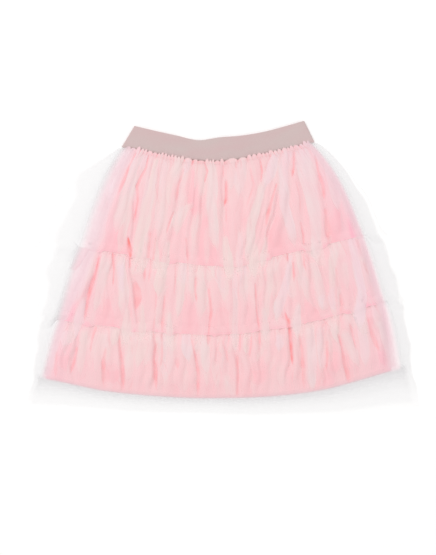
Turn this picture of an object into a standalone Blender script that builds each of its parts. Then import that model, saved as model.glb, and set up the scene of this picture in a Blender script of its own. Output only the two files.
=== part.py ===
"""Ruffle skirt laid flat on a table, at real size in metres, +Z up.

The skirt is a tube of cloth lying on its back. X runs across it, +Y runs from
the hem to the waist and +Z is the way its front faces. Four pieces are sewn
together: a folded elastic band and three gathered tiers that hang from each
other. Every cloth is an open tube surface lofted through rings, and Solidify
gives it its wall. Sizes are millimetres until the loft writes them in metres.
"""

import math
from collections import namedtuple

import bmesh
import bpy
from mathutils import Vector

MM = 0.001

# Cloth walls and the gaps between pieces
TULLE_WALL = 1.0
BAND_WALL = 2.0
GAP = 0.3
SEAM_GAP = 0.6

# Heights of the middle of each wall above the table
TIER_BACK_Z = TULLE_WALL / 2
TIER_FRONT_Z = TIER_BACK_Z + TULLE_WALL + GAP
BAND_BACK_Z = BAND_WALL / 2
BAND_FRONT_Z = BAND_BACK_Z + BAND_WALL + GAP

# Lift of the gathers above the back panel
CREST_LIFT = 9.0
HEM_LIFT = 7.0
SEAM_LIFT = 1.6
WAIST_LIFT = 1.2
WAIST_BASE = 1.0
SHALLOW = 0.5

# Columns on the plain back panels and points on each folded side
BACK_COLUMNS = 12
TURN_ANGLES = (60.0, 20.0, -20.0, -60.0)

Arc = namedtuple("Arc", "left right heights on_band", defaults=(False,))
Trough = namedtuple("Trough", "x_top x_low depth_top depth_low waves_after")
Tier = namedtuple("Tier", "name upper lower bulges rows first_waves troughs lifts")

# Lines across the skirt: both ends, and heights at even stations between them
BAND_TOP_HEIGHTS = (208.5, 201.0, 194.1, 187.5, 191.6, 194.1, 199.1, 207.0, 216.0)
BAND_LOW_HEIGHTS = (176.9, 169.5, 161.3, 156.3, 154.5, 158.3, 166.5, 173.7, 184.7)
BAND_TOP = Arc(-129.8, 121.5, BAND_TOP_HEIGHTS)
BAND_LOW = Arc(-148.8, 136.8, BAND_LOW_HEIGHTS)
WAIST = Arc(-146.0, 134.0, BAND_LOW.heights, on_band=True)
SEAM_ONE = Arc(-213.0, 214.5, (27.0, 10.5, -0.8, 19.5, 45.0))
SEAM_TWO = Arc(-246.0, 246.8, (-81.0, -96.8, -103.5, -86.3, -54.0))
HEM = Arc(-272.0, 272.0, (-172.0, -196.0, -206.0, -197.0, -164.0))

# Main troughs between the gathers, left to right
TOP_TROUGHS = (
    Trough(-129.0, -187.5, 0.9, 0.3, 3),
    Trough(-112.5, -139.5, 0.5, 1.0, 4),
    Trough(-57.0, -81.0, 0.8, 0.6, 3),
    Trough(-25.5, -33.0, 0.9, 0.5, 2),
    Trough(3.0, 0.0, 1.0, 0.6, 2),
    Trough(60.0, 24.0, 0.8, 0.4, 3),
    Trough(90.0, 60.0, 0.6, 0.9, 2),
    Trough(108.0, 121.5, 0.9, 0.8, 2),
    Trough(122.0, 159.0, 0.6, 0.9, 2),
)
MIDDLE_TROUGHS = (
    Trough(-184.5, -204.0, 0.9, 0.8, 2),
    Trough(-162.0, -171.0, 0.8, 0.3, 3),
    Trough(-136.5, -124.5, 0.5, 1.0, 1),
    Trough(-109.5, -108.0, 0.6, 0.3, 1),
    Trough(-84.0, -87.6, 0.3, 0.9, 3),
    Trough(-39.0, -42.0, 0.8, 0.4, 1),
    Trough(-21.0, -19.5, 0.5, 0.8, 4),
    Trough(54.0, 54.0, 0.8, 0.5, 3),
    Trough(85.5, 98.0, 0.2, 1.0, 1),
    Trough(99.0, 112.5, 0.8, 0.5, 1),
    Trough(118.5, 127.0, 0.6, 0.3, 3),
    Trough(163.5, 181.5, 0.4, 0.8, 2),
    Trough(189.0, 216.0, 0.5, 0.8, 2),
)
BOTTOM_TROUGHS = (
    Trough(-213.0, -225.0, 0.5, 0.9, 1),
    Trough(-195.0, -201.0, 0.9, 0.3, 1),
    Trough(-174.0, -178.5, 0.3, 0.9, 2),
    Trough(-150.0, -151.5, 0.5, 1.0, 3),
    Trough(-100.5, -102.0, 0.8, 0.9, 1),
    Trough(-87.0, -86.0, 0.8, 0.5, 3),
    Trough(-36.0, -34.5, 0.4, 1.0, 4),
    Trough(24.0, 24.0, 0.4, 1.0, 2),
    Trough(55.5, 57.0, 0.9, 0.4, 3),
    Trough(100.5, 100.5, 1.0, 0.5, 1),
    Trough(114.0, 124.5, 0.5, 1.0, 2),
    Trough(154.0, 156.0, 0.8, 0.8, 2),
    Trough(175.0, 190.0, 0.5, 0.9, 1),
    Trough(195.0, 208.0, 0.8, 0.4, 1),
    Trough(220.5, 233.0, 0.9, 0.4, 2),
)

TOP_ROWS = (0.0, 0.05, 0.14, 0.27, 0.42, 0.57, 0.72, 0.86, 0.95, 1.0)
LOWER_ROWS = (0.0, 0.07, 0.18, 0.36, 0.56, 0.76, 0.91, 1.0)
HEM_ROWS = (0.0, 0.07, 0.18, 0.36, 0.58, 0.8, 1.0)

# Highest crest down each tier: share of the way down, lift
TOP_LIFTS = ((0.0, WAIST_LIFT), (0.16, 3.6), (0.45, 7.0), (0.8, 6.2), (1.0, SEAM_LIFT))
MIDDLE_LIFTS = ((0.0, SEAM_LIFT), (0.2, CREST_LIFT), (0.55, 8.0), (0.82, 6.0), (1.0, SEAM_LIFT))
BOTTOM_LIFTS = ((0.0, SEAM_LIFT), (0.2, CREST_LIFT), (0.55, 8.5), (1.0, HEM_LIFT))

TIERS = (
    Tier("tier_top", WAIST, SEAM_ONE, (8.0, 13.0), TOP_ROWS, 2, TOP_TROUGHS, TOP_LIFTS),
    Tier("tier_middle", SEAM_ONE, SEAM_TWO, (2.0, 1.0), LOWER_ROWS, 2, MIDDLE_TROUGHS, MIDDLE_LIFTS),
    Tier("tier_bottom", SEAM_TWO, HEM, (2.0, 3.0), HEM_ROWS, 3, BOTTOM_TROUGHS, BOTTOM_LIFTS),
)

# Colour, roughness and how much of a velvety edge each cloth has
ELASTIC_LOOK = ((0.651, 0.491, 0.485, 1.0), 0.85, 0.2)
TIER_LOOK = ((0.922, 0.612, 0.631, 1.0), 0.9, 0.4)


def clear_scene():
    """Remove every object and the collections that held them."""
    for thing in list(bpy.data.objects):
        bpy.data.objects.remove(thing, do_unlink=True)
    for group in list(bpy.data.collections):
        bpy.data.collections.remove(group)


def mix(low, high, share):
    """Value a share of the way from low to high."""
    return low + (high - low) * share


def ease(share):
    """Smooth step from 0 to 1."""
    share = min(1.0, max(0.0, share))
    return share * share * (3.0 - 2.0 * share)


def vary(index, salt):
    """Even-handed number from 0 to 1 that is fixed for an index."""
    value = math.sin(index * 12.9898 + salt * 78.233) * 43758.5453
    return value - math.floor(value)


def arc_height(arc, side):
    """Height of an arc at side -1 to 1, as a cubic through its stations."""
    place = (side + 1.0) / 2.0 * (len(arc.heights) - 1)
    index = min(len(arc.heights) - 2, max(0, int(place)))
    share = place - index
    last = len(arc.heights) - 1
    start = arc.heights[index]
    end = arc.heights[index + 1]
    before = arc.heights[index - 1] if index > 0 else 2.0 * start - end
    after = arc.heights[index + 2] if index + 2 <= last else 2.0 * end - start
    pull_start = (end - before) / 2.0
    pull_end = (after - start) / 2.0
    square = share * share
    cube = square * share
    return (
        (2.0 * cube - 3.0 * square + 1.0) * start
        + (cube - 2.0 * square + share) * pull_start
        + (3.0 * square - 2.0 * cube) * end
        + (cube - square) * pull_end
    )


def arc_side(arc, x):
    """Side coordinate of an x value on an arc."""
    return (x - arc.left) / (arc.right - arc.left) * 2.0 - 1.0


def arc_point(arc, side):
    """Point of an arc at side -1 (left end) to 1 (right end)."""
    x = mix(arc.left, arc.right, (side + 1.0) / 2.0)
    if arc.on_band:
        return Vector((x, arc_height(BAND_LOW, arc_side(BAND_LOW, x)) - SEAM_GAP))
    return Vector((x, arc_height(arc, side)))


def between(upper, lower, side, down, bulges=(0.0, 0.0)):
    """Point between two arcs, with the outline rounded out at the left and right sides."""
    point = arc_point(upper, side).lerp(arc_point(lower, side), down)
    bulge = bulges[1] if side > 0.0 else bulges[0]
    point.x += math.copysign(abs(side) ** 3, side) * bulge * math.sin(math.pi * down ** 0.7)
    return point


def turn_points(point, outward, low_z, high_z, downward):
    """Half circle that folds a panel over at its side."""
    radius = (high_z - low_z) / 2.0
    middle = (high_z + low_z) / 2.0
    angles = TURN_ANGLES if downward else TURN_ANGLES[::-1]
    return [
        (
            point.x + outward * radius * math.cos(math.radians(angle)),
            point.y,
            middle + radius * math.sin(math.radians(angle)),
        )
        for angle in angles
    ]


def ring_of(front, back_points, back_z):
    """One closed ring: front left to right, a fold, back right to left, a fold."""
    left = Vector(front[0][:2])
    right = Vector(front[-1][:2])
    ring = list(front)
    ring += turn_points(right, 1.0, back_z, front[-1][2], True)
    ring += [(point.x, point.y, back_z) for point in reversed(back_points)]
    ring += turn_points(left, -1.0, back_z, front[0][2], False)
    return ring


def loft_tube(name, rings, wall, look, group):
    """Open tube through rings of equal length, with a wall from Solidify."""
    mesh = bpy.data.meshes.new(name)
    tube = bmesh.new()
    loops = [[tube.verts.new(Vector(point) * MM) for point in ring] for ring in rings]
    count = len(rings[0])
    for upper, lower in zip(loops, loops[1:]):
        for index in range(count):
            after = (index + 1) % count
            tube.faces.new((upper[index], lower[index], lower[after], upper[after]))
    bmesh.ops.recalc_face_normals(tube, faces=tube.faces)
    for face in tube.faces:
        face.smooth = True
    tube.to_mesh(mesh)
    tube.free()
    cloth = bpy.data.objects.new(name, mesh)
    group.objects.link(cloth)
    mesh.materials.append(material_of(name, look))
    solidify = cloth.modifiers.new("Wall", "SOLIDIFY")
    solidify.thickness = wall * MM
    solidify.offset = 0.0
    solidify.use_rim = True
    return cloth


def material_of(name, look):
    """Cloth material of one piece."""
    colour, roughness, sheen = look
    material = bpy.data.materials.new(name)
    material.use_nodes = True
    shader = material.node_tree.nodes["Principled BSDF"]
    shader.inputs["Base Color"].default_value = colour
    shader.inputs["Roughness"].default_value = roughness
    shader.inputs["Metallic"].default_value = 0.0
    shader.inputs["Sheen Weight"].default_value = sheen
    material.diffuse_color = colour
    return material


def band_ring(down):
    """Ring of the elastic band, down 0 at its top edge and 1 at its lower edge."""
    sides = [-1.0 + 2.0 * index / 32 for index in range(33)]
    ripple = 0.25 * ease(down * 2.0 - 0.8)
    front = []
    for index, side in enumerate(sides):
        point = between(BAND_TOP, BAND_LOW, side, down)
        inner = 1.0 - abs(side) ** 8
        front.append((point.x, point.y, BAND_FRONT_Z + ripple * inner * (index % 2)))
    back = [between(BAND_TOP, BAND_LOW, side, down) for side in sides[::2]]
    return ring_of(front, back, BAND_BACK_Z)


def build_band(group):
    """Elastic waistband folded flat, its front and back lying on each other."""
    rings = [band_ring(step / 4) for step in range(5)]
    return loft_tube("waistband", rings, BAND_WALL, ELASTIC_LOOK, group)


def gather_columns(tier):
    """Columns across a tier: side at its top and low edge, lift share at each."""
    salt = len(tier.troughs)
    marks = [(-1.0, -1.0, 1.0, 1.0, tier.first_waves)]
    for trough in tier.troughs:
        top = arc_side(tier.upper, trough.x_top)
        low = arc_side(tier.lower, trough.x_low)
        marks.append((top, low, trough.depth_top, trough.depth_low, trough.waves_after))
    marks.append((1.0, 1.0, 1.0, 1.0, 0))
    columns = [(-1.0, -1.0, 0.0, 0.0)]
    wave = 0
    for start, end in zip(marks, marks[1:]):
        waves = start[4]
        for part in range(waves):
            crest_top = 0.66 + 0.34 * vary(wave, salt)
            crest_low = 0.66 + 0.34 * vary(wave + 50, salt)
            shallow = SHALLOW * (0.7 + 0.6 * vary(wave, 3))
            after = SHALLOW * (0.7 + 0.6 * vary(wave + 1, 3))
            opens = (1.0 - start[2], 1.0 - start[3]) if part == 0 else (shallow, shallow)
            closes = (1.0 - end[2], 1.0 - end[3]) if part == waves - 1 else (after, after)
            shape = (
                (0.11, opens[0], opens[1]),
                (0.32, crest_top, crest_low),
                (0.68, crest_top, crest_low),
                (0.89, closes[0], closes[1]),
            )
            for place, top_lift, low_lift in shape:
                share = (part + place) / waves
                top = mix(start[0], end[0], share)
                low = mix(start[1], end[1], share)
                columns.append((top, low, top_lift, low_lift))
            wave += 1
    columns.append((1.0, 1.0, 0.0, 0.0))
    return columns


def lift_at(tier, down):
    """Lift of the highest crest at a share of the way down the tier."""
    for start, end in zip(tier.lifts, tier.lifts[1:]):
        if down <= end[0]:
            return mix(start[1], end[1], ease((down - start[0]) / (end[0] - start[0])))
    return tier.lifts[-1][1]


def tier_ring(tier, columns, down):
    """Ring of a gathered tier, down 0 at its stitched top edge and 1 at its low edge."""
    limit = lift_at(tier, down)
    base = WAIST_BASE * (1.0 - ease(down / 0.16)) if tier.upper.on_band else 0.0
    drop = SEAM_GAP if down >= 1.0 and tier.lower is not HEM else 0.0
    front = []
    for index, (top_side, low_side, top_lift, low_lift) in enumerate(columns):
        inner = 0 < index < len(columns) - 1
        swing = 0.012 * (vary(index // 4, 9) - 0.5) * inner
        sway = swing * math.sin(2.0 * math.pi * down)
        side = mix(top_side, low_side, down) + sway
        point = between(tier.upper, tier.lower, side, down, tier.bulges)
        lift = base * inner + limit * mix(top_lift, low_lift, down)
        front.append((point.x, point.y + drop, TIER_FRONT_Z + lift))
    back = []
    for index in range(1, BACK_COLUMNS):
        side = -1.0 + 2.0 * index / BACK_COLUMNS
        point = between(tier.upper, tier.lower, side, down, tier.bulges)
        back.append(Vector((point.x, point.y + drop)))
    ends = [Vector(front[0][:2]), Vector(front[-1][:2])]
    back = [ends[0]] + back + [ends[1]]
    return ring_of(front, back, TIER_BACK_Z)


def build_tier(tier, group):
    """Gathered tier: a tube, its front in gathers and its back lying plain."""
    columns = gather_columns(tier)
    rings = [tier_ring(tier, columns, down) for down in tier.rows]
    return loft_tube(tier.name, rings, TULLE_WALL, TIER_LOOK, group)


def centre_on_origin(pieces):
    """Move all pieces so that the skirt's box is centred in X and Y and rests at z 0."""
    graph = bpy.context.evaluated_depsgraph_get()
    corners = []
    for piece in pieces:
        shape = piece.evaluated_get(graph).to_mesh()
        corners += [point.co.copy() for point in shape.vertices]
        piece.evaluated_get(graph).to_mesh_clear()
    lows = [min(point[axis] for point in corners) for axis in range(3)]
    highs = [max(point[axis] for point in corners) for axis in range(3)]
    shift = Vector((-(lows[0] + highs[0]) / 2, -(lows[1] + highs[1]) / 2, -lows[2]))
    for piece in pieces:
        for point in piece.data.vertices:
            point.co += shift


def main():
    """Build the skirt."""
    clear_scene()
    group = bpy.data.collections.new("ruffle_skirt")
    bpy.context.scene.collection.children.link(group)
    band = build_band(group)
    tiers = [build_tier(tier, group) for tier in TIERS]
    bpy.context.view_layer.update()
    centre_on_origin([band] + tiers)


main()
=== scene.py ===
"""Ruffle skirt laid flat: its looks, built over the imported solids.

The skirt is a flat elastic band over three gathered tiers of tulle. Every tier
is two plies gathered as one: a pink ply that carries the folds, and a very
sheer pale ply over it, pressed into loose pleats, that reaches a little past
the pink one at the sides, at the seams and at the hem.
Lengths in the tables are millimetres, and meshes are written in metres.
"""

import logging
import math
from dataclasses import dataclass, field
from enum import Enum

import bpy
import numpy as np
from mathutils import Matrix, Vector


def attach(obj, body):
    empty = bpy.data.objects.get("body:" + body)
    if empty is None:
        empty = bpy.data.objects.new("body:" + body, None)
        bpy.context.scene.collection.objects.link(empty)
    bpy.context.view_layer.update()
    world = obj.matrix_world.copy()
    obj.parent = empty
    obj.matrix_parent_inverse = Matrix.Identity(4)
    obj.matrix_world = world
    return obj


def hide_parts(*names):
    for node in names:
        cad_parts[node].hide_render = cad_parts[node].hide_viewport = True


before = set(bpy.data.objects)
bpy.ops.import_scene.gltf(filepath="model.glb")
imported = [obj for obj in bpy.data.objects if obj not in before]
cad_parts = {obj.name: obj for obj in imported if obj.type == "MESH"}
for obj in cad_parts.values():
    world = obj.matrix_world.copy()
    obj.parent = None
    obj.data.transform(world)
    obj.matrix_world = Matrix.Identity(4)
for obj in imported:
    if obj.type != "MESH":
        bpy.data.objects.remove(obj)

LOG = logging.getLogger("ruffle_skirt")
MM = 0.001
BODY = "root"
# The solids are centred on their box, which puts the laid-out plan this far down
PLAN_SHIFT = -4.78
# How far below the band's low edge the top tier's stitched edge lies
BELOW_BAND = 0.6
# Length over which a bare stretch of seam comes and goes
SEAM_SOFT = 5.0
# Width and height of the photograph in pixels, and its scale
PHOTO_SIZE = (436, 555)
MM_PER_PIXEL = 1.5
# Pixel of the photograph that the origin of the plan falls on
PLAN_PIXEL = (222.0, 265.0)
# Depth of the net's threads and of the elastic's ribs, in metres
NET_DEPTH = 0.0002
RIB_DEPTH = 0.0003
# Cloth hardly glints
CLOTH_SPECULAR = 0.15
# Cover of a sheer ply where it hides the pink one's side edge
FULL_COVER = 0.97


class Hold(Enum):
    GATHERED = "gathered"


class Side(Enum):
    """Sides of the laid-out skirt, as places in a pair of values."""

    LEFT = 0
    RIGHT = 1


@dataclass(frozen=True)
class Arc:
    """A line across the skirt: its ends, and its heights at even stations.

    Attributes:
        left: its left end.
        right: its right end.
        heights: its heights on the plan, from left to right.
        on_band: whether it follows the band's low edge instead of its own heights.
        seen: stretches where it shows as a bare seam: start, end and how plainly.
    """

    left: float
    right: float
    heights: tuple[float, ...]
    on_band: bool = False
    seen: tuple[tuple[float, float, float], ...] = ()

    def half(self) -> float:
        """Half of the arc's width."""
        return (self.right - self.left) / 2.0

    def x_at(self, side: np.ndarray) -> np.ndarray:
        """Positions across, for sides from -1 to 1."""
        return self.left + (self.right - self.left) * (side + 1.0) / 2.0

    def side_of(self, x: "float | np.ndarray") -> "float | np.ndarray":
        """Side of a position across, or of several."""
        return (x - self.left) / (self.right - self.left) * 2.0 - 1.0

    def shown(self, x: np.ndarray) -> np.ndarray:
        """How plainly the seam shows; elsewhere folds hang over it.

        Args:
            x: positions across the plan.

        Returns:
            A share for each position, 1 where the seam is bare.
        """
        if not self.seen:
            return np.ones_like(x)
        share = np.zeros_like(x)
        for start, end, plain in self.seen:
            comes = ease((x - start) / SEAM_SOFT + 0.5)
            goes = ease((end - x) / SEAM_SOFT + 0.5)
            share = np.maximum(share, plain * comes * goes)
        return share

    def y_at(self, side: np.ndarray) -> np.ndarray:
        """Heights on the plan, as a cubic through the stations.

        Args:
            side: sides from -1 to 1, or a little past them.

        Returns:
            One height for each side.
        """
        if self.on_band:
            return BAND_LOW.y_at(BAND_LOW.side_of(self.x_at(side))) - BELOW_BAND
        table = np.array(self.heights)
        before = np.concatenate([[2 * table[0] - table[1]], table, [2 * table[-1] - table[-2]]])
        place = (side + 1.0) / 2.0 * (len(table) - 1)
        index = np.clip(place.astype(int), 0, len(table) - 2)
        t = place - index
        p0, p1, p2, p3 = before[index], before[index + 1], before[index + 2], before[index + 3]
        pull_1 = (p2 - p0) / 2.0
        pull_2 = (p3 - p1) / 2.0
        return (
            (2 * t**3 - 3 * t**2 + 1) * p1
            + (t**3 - 2 * t**2 + t) * pull_1
            + (3 * t**2 - 2 * t**3) * p2
            + (t**3 - t**2) * pull_2
        )


BAND_TOP = Arc(
    -129.8, 121.5, (208.5, 201.0, 194.1, 187.5, 191.6, 194.1, 199.1, 207.0, 216.0)
)
BAND_LOW = Arc(
    -148.8, 136.8, (176.9, 169.5, 161.3, 156.3, 154.5, 158.3, 166.5, 173.7, 184.7)
)
WAIST = Arc(-146.0, 134.0, BAND_LOW.heights, on_band=True)
SEAM_ONE = Arc(
    -213.0, 214.5, (27.0, 10.5, -0.8, 19.5, 45.0),
    seen=((-179.0, -140.0, 1.0), (-68.0, -3.0, 0.9), (74.0, 122.0, 1.0), (159.0, 211.0, 1.0)),
)
SEAM_TWO = Arc(
    -246.0, 246.8, (-81.0, -96.8, -103.5, -86.3, -54.0),
    seen=(
        (-192.0, -155.0, 0.8), (-108.0, -84.0, 0.6), (-72.0, -13.0, 0.7), (-3.0, 60.0, 0.6),
        (70.0, 96.0, 0.6), (126.0, 184.0, 0.7), (211.0, 226.0, 0.6),
    ),
)
HEM = Arc(-272.0, 272.0, (-172.0, -196.0, -206.0, -197.0, -164.0))


@dataclass(frozen=True)
class Trough:
    """A main trough between gathers, with the number of gathers up to the next one."""

    x_top: float
    x_low: float
    depth_top: float
    depth_low: float
    waves_after: int


@dataclass(frozen=True)
class Mark:
    """A given fold, crease or bare patch: how strong, how lilac, and its path.

    Each point of the path is a place on the plan, and the mark's width there.
    """

    strength: float
    lilac: float
    path: tuple[tuple[float, float, float], ...]

    def length(self) -> float:
        """Length of the mark's path."""
        return sum(math.hypot(b[0] - a[0], b[1] - a[1]) for a, b in zip(self.path, self.path[1:]))

    def inside(self, x: np.ndarray, y: np.ndarray) -> tuple[np.ndarray, ...]:
        """How far points lie inside the mark's edge, which runs to a point at its low end.

        Args:
            x: positions across the plan.
            y: heights on the plan.

        Returns:
            Depth inside the edge, below 0 outside; half of the width there; how strong
            the mark still is, as it dies away towards its ends; and 1 on the side where
            its edge is crisp, or else 0.
        """
        depth = np.full(x.shape, -1e6)
        half = np.ones(x.shape)
        along = np.zeros(x.shape)
        right = np.zeros(x.shape, bool)
        total = self.length()
        point = min(self.path[-1][2] * 1.3 + 3.0, 0.4 * total)
        walked = 0.0
        for (x0, y0, w0), (x1, y1, w1) in zip(self.path, self.path[1:]):
            dx, dy = x1 - x0, y1 - y0
            length = math.hypot(dx, dy)
            t = np.clip(((x - x0) * dx + (y - y0) * dy) / (length * length), 0.0, 1.0)
            place = walked + length * t
            own = (w0 + (w1 - w0) * t) / 2.0 * np.clip((total - place) / point, 0.05, 1.0) ** 0.7
            here = own - np.hypot(x - x0 - dx * t, y - y0 - dy * t)
            closer = here > depth
            depth = np.where(closer, here, depth)
            half = np.where(closer, own, half)
            along = np.where(closer, place, along)
            right = np.where(closer, (x - x0) * dy < (y - y0) * dx, right)
            walked += length
        left_over = ease(along / 3.0 + 0.5) * ease((total - along) / (0.3 * total) + 0.4)
        crisp = right == (vary(self.path[0][0], self.path[0][1]) > 0.5)
        return depth, half, left_over, crisp


@dataclass
class Layer:
    """Marks of one kind added up over a grid of points."""

    share: np.ndarray
    ridge: np.ndarray
    lilac: np.ndarray

    @staticmethod
    def of(marks: tuple[Mark, ...], x: np.ndarray, y: np.ndarray, edges: tuple[float, float],
           slim: float = 1.0, layered: bool = False) -> "Layer":
        """Add up marks, each of which keeps a crisp edge and a soft one.

        Args:
            marks: what to draw.
            x: positions across the plan.
            y: heights on the plan.
            edges: widths of the marks' crisp edge and of their soft edge.
            slim: share of the marks' own widths that is drawn.
            layered: whether marks that cross show through each other.

        Returns:
            The marks' share, their rounded ridge and their lilac at each point.
        """
        made = Layer(np.zeros(x.shape), np.zeros(x.shape), np.zeros(x.shape))
        for mark in marks:
            depth, half, left, crisp = mark.inside(x, y)
            depth = depth - (1.0 - slim) * half
            half = half * slim
            soft = np.where(crisp, edges[0], np.minimum(edges[1], 1.2 * half + edges[0]))
            share = mark.strength * left * ease((depth + soft / 2.0) / soft)
            middle = np.clip(1.0 - depth / half, 0.0, 1.0)
            ridge = min(1.0, mark.strength) * left * (1.0 - middle**2) ** 2
            made.lilac = made.lilac + (mark.lilac - made.lilac) * np.clip(share, 0.0, 1.0)
            added = made.share + (1.0 - made.share) * share
            made.share = added if layered else np.maximum(made.share, share)
            made.ridge = np.maximum(made.ridge, ridge)
        return made


@dataclass(frozen=True)
class TierPlan:
    """Everything that one tier is drawn from.

    Attributes:
        node: the solid that the tier stands for.
        upper: its gathered edge.
        lower: its low edge.
        bulges: how far its outline rounds out at the left and at the right.
        first_waves: gathers between the left edge and the first trough.
        troughs: main troughs from left to right.
        lifts: shares of the way down, and the lift of the highest crests there.
        folds: folds given one by one.
        creases: creases given one by one.
        patches: bare patches given one by one.
        length: its depth as laid out.
        head: how far its gathers stand up past the stitched edge.
        rows: rows of its pink ply's mesh.
        fade: how far the pink ply is drawn in, at the top and bottom of each side.
        veil: how far the sheer ply reaches past the outline, down each side.
        cut: width and depth of the cloth that shows, all round, in metres.
        seed: start of its random numbers.
    """

    node: str
    upper: Arc
    lower: Arc
    bulges: tuple[float, float]
    first_waves: int
    troughs: tuple[Trough, ...]
    lifts: tuple[tuple[float, float], ...]
    folds: tuple[Mark, ...]
    creases: tuple[Mark, ...]
    patches: tuple[Mark, ...]
    length: float
    head: float
    rows: int
    fade: tuple[tuple[float, float], tuple[float, float]]
    veil: tuple[tuple[float, ...], tuple[float, ...]]
    cut: tuple[float, float]
    seed: int


def marks(*rows: tuple) -> tuple[Mark, ...]:
    """Marks from rows: strength, lilac, then each point of the path with its width."""
    return tuple(Mark(row[0], row[1], row[2:]) for row in rows)


TOP_FOLDS = marks(
    (0.55, 0.6, (-156, 172, 7.5), (-171, 128, 18), (-182, 75, 21), (-188, 22, 18)),
    (0.7, 0.5, (-144, 171, 9), (-159, 130, 12), (-170, 90, 14)),
    (0.9, 0.1, (-122, 170, 12), (-134, 140, 12), (-144, 105, 15), (-153, 72, 18),
     (-159, 48, 4.5)),
    (0.5, 0.9, (-112, 164, 9), (-122, 142, 10.5)),
    (1, 0, (-99, 158, 6), (-104, 132, 10.5), (-110, 102, 15), (-116, 69, 18), (-123, 40, 18),
     (-128, 2, 15)),
    (0.6, 0.3, (-84, 158, 10.5), (-88, 124, 12), (-93, 78, 14), (-96, 40, 12)),
    (0.8, 0, (-62, 159, 14), (-75, 134, 12), (-81, 106, 9), (-78, 87, 4.5)),
    (0.6, 0.9, (-50, 158, 9), (-57, 134, 7.5)),
    (0.7, 0.1, (-46, 90, 7), (-57, 82, 14), (-66, 66, 17), (-68, 44, 10)),
    (0.5, 0.1, (-39, 76, 7.5), (-44, 38, 10.5)),
    (1, 0.2, (-15, 154, 12), (-14, 122, 16), (-15, 88, 16), (-12, 46, 14), (-6, 22, 6)),
    (0.6, 0.4, (14, 156, 12), (15, 130, 14), (12, 110, 9)),
    (0.6, 0.6, (32, 159, 14), (28, 132, 18), (24, 102, 12)),
    (1, 0.4, (82, 168, 10.5), (74, 144, 18), (62, 114, 15)),
    (1, 0.1, (62, 120, 10.5), (51, 87, 12), (44, 58, 14), (42, 34, 14), (38, 4, 14)),
    (0.8, 0.6, (99, 172, 14), (93, 148, 15), (92, 120, 14), (94, 90, 15), (102, 58, 14),
     (110, 27, 9)),
    (0.9, 0.3, (120, 174, 20), (123, 144, 21), (132, 111, 21), (140, 74, 18), (141, 28, 15),
     (140, -4, 14)),
    (0.6, 0.6, (158, 153, 14), (171, 112, 18), (174, 80, 15)),
    (0.5, 0.9, (184, 120, 10.5), (195, 88, 9)),
    (0.6, 0.8, (-198, 62, 10), (-204, 26, 18), (-209, -6, 14)),
    (0.8, 0.1, (-112, 46, 6), (-116, 12, 13), (-118, -14, 12)),
    (0.7, 0, (-99, 38, 5), (-98, 14, 10), (-99, -9, 9)),
    (0.9, 0.1, (-82, 34, 6), (-84, 8, 12), (-87, -19, 10)),
    (0.9, 0, (5, 42, 6), (9, 8, 15), (11, -22, 12)),
    (0.7, 0.5, (27, 50, 6), (27, 14, 11), (25, -14, 9)),
    (0.8, 0, (50, 30, 6), (48, 6, 15), (47, -18, 13)),
    (0.6, 0.2, (66, 42, 5), (62, 16, 10), (60, -2, 9)),
)
TOP_CREASES = marks(
    (0.6, 0, (-152, 172, 3), (-158, 152, 4.5), (-165, 134, 3)),
    (0.9, 0.4, (-129, 168, 3), (-140, 148, 4.5), (-147, 128, 7.5), (-156, 105, 6)),
    (0.5, 0.5, (-174, 116, 4.5), (-177, 104, 4.5)),
    (0.9, 0, (-110, 165, 2), (-114, 146, 3), (-123, 130, 5), (-128, 118, 6), (-126, 96, 4.5),
     (-134, 60, 3)),
    (0.5, 0, (-104, 153, 2), (-110, 126, 2)),
    (0.4, 0, (-94, 158, 2), (-98, 102, 2)),
    (0.7, 0, (-108, 48, 6), (-112, 2, 6)),
    (0.6, 0, (-99, 40, 4.5), (-104, 2, 4.5)),
    (0.6, 0.2, (-57, 144, 3), (-66, 118, 6), (-70, 92, 7.5)),
    (0.9, 0, (-42, 158, 3), (-46, 148, 2)),
    (1, 0, (-26, 153, 2), (-22, 141, 4), (-27, 122, 2)),
    (0.9, 0, (-72, 80, 2), (-81, 57, 4), (-84, 46, 1.5)),
    (0.5, 0, (-45, 87, 2), (-54, 75, 2)),
    (0.6, 0.3, (-54, 40, 4.5), (-51, 3, 5)),
    (1.1, 0, (6, 126, 5), (6, 99, 6), (3, 87, 4)),
    (0.5, 0, (6, 86, 3), (6, 62, 3)),
    (0.7, 0, (2, 150, 2), (2, 130, 2)),
    (0.9, 0, (20, 154, 2), (21, 144, 3)),
    (0.5, 0.4, (42, 144, 3), (48, 120, 4.5), (42, 102, 4.5), (36, 87, 3)),
    (0.9, 0, (57, 160, 2), (60, 141, 4), (58, 124, 1.5)),
    (0.8, 0, (74, 166, 3), (68, 153, 2), (64, 138, 1.5)),
    (0.9, 0, (82, 122, 3), (75, 98, 5), (69, 78, 7), (66, 56, 7.5)),
    (1, 0, (108, 171, 2), (108, 148, 4), (105, 130, 6)),
    (0.4, 0, (111, 126, 3), (117, 102, 3), (118, 76, 3)),
    (0.8, 0, (118, 64, 3), (122, 45, 4.5), (123, 28, 3)),
    (0.8, 0.3, (140, 165, 3), (144, 141, 4.5), (152, 118, 7.5), (154, 96, 5)),
    (0.6, 0.3, (155, 84, 6), (158, 58, 11), (160, 34, 9)),
    (0.4, 0.2, (27, 56, 2), (30, 38, 3)),
    (1.4, 0, (-141, 42, 3), (-139, 26, 9), (-137, 8, 11)),
)
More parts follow.
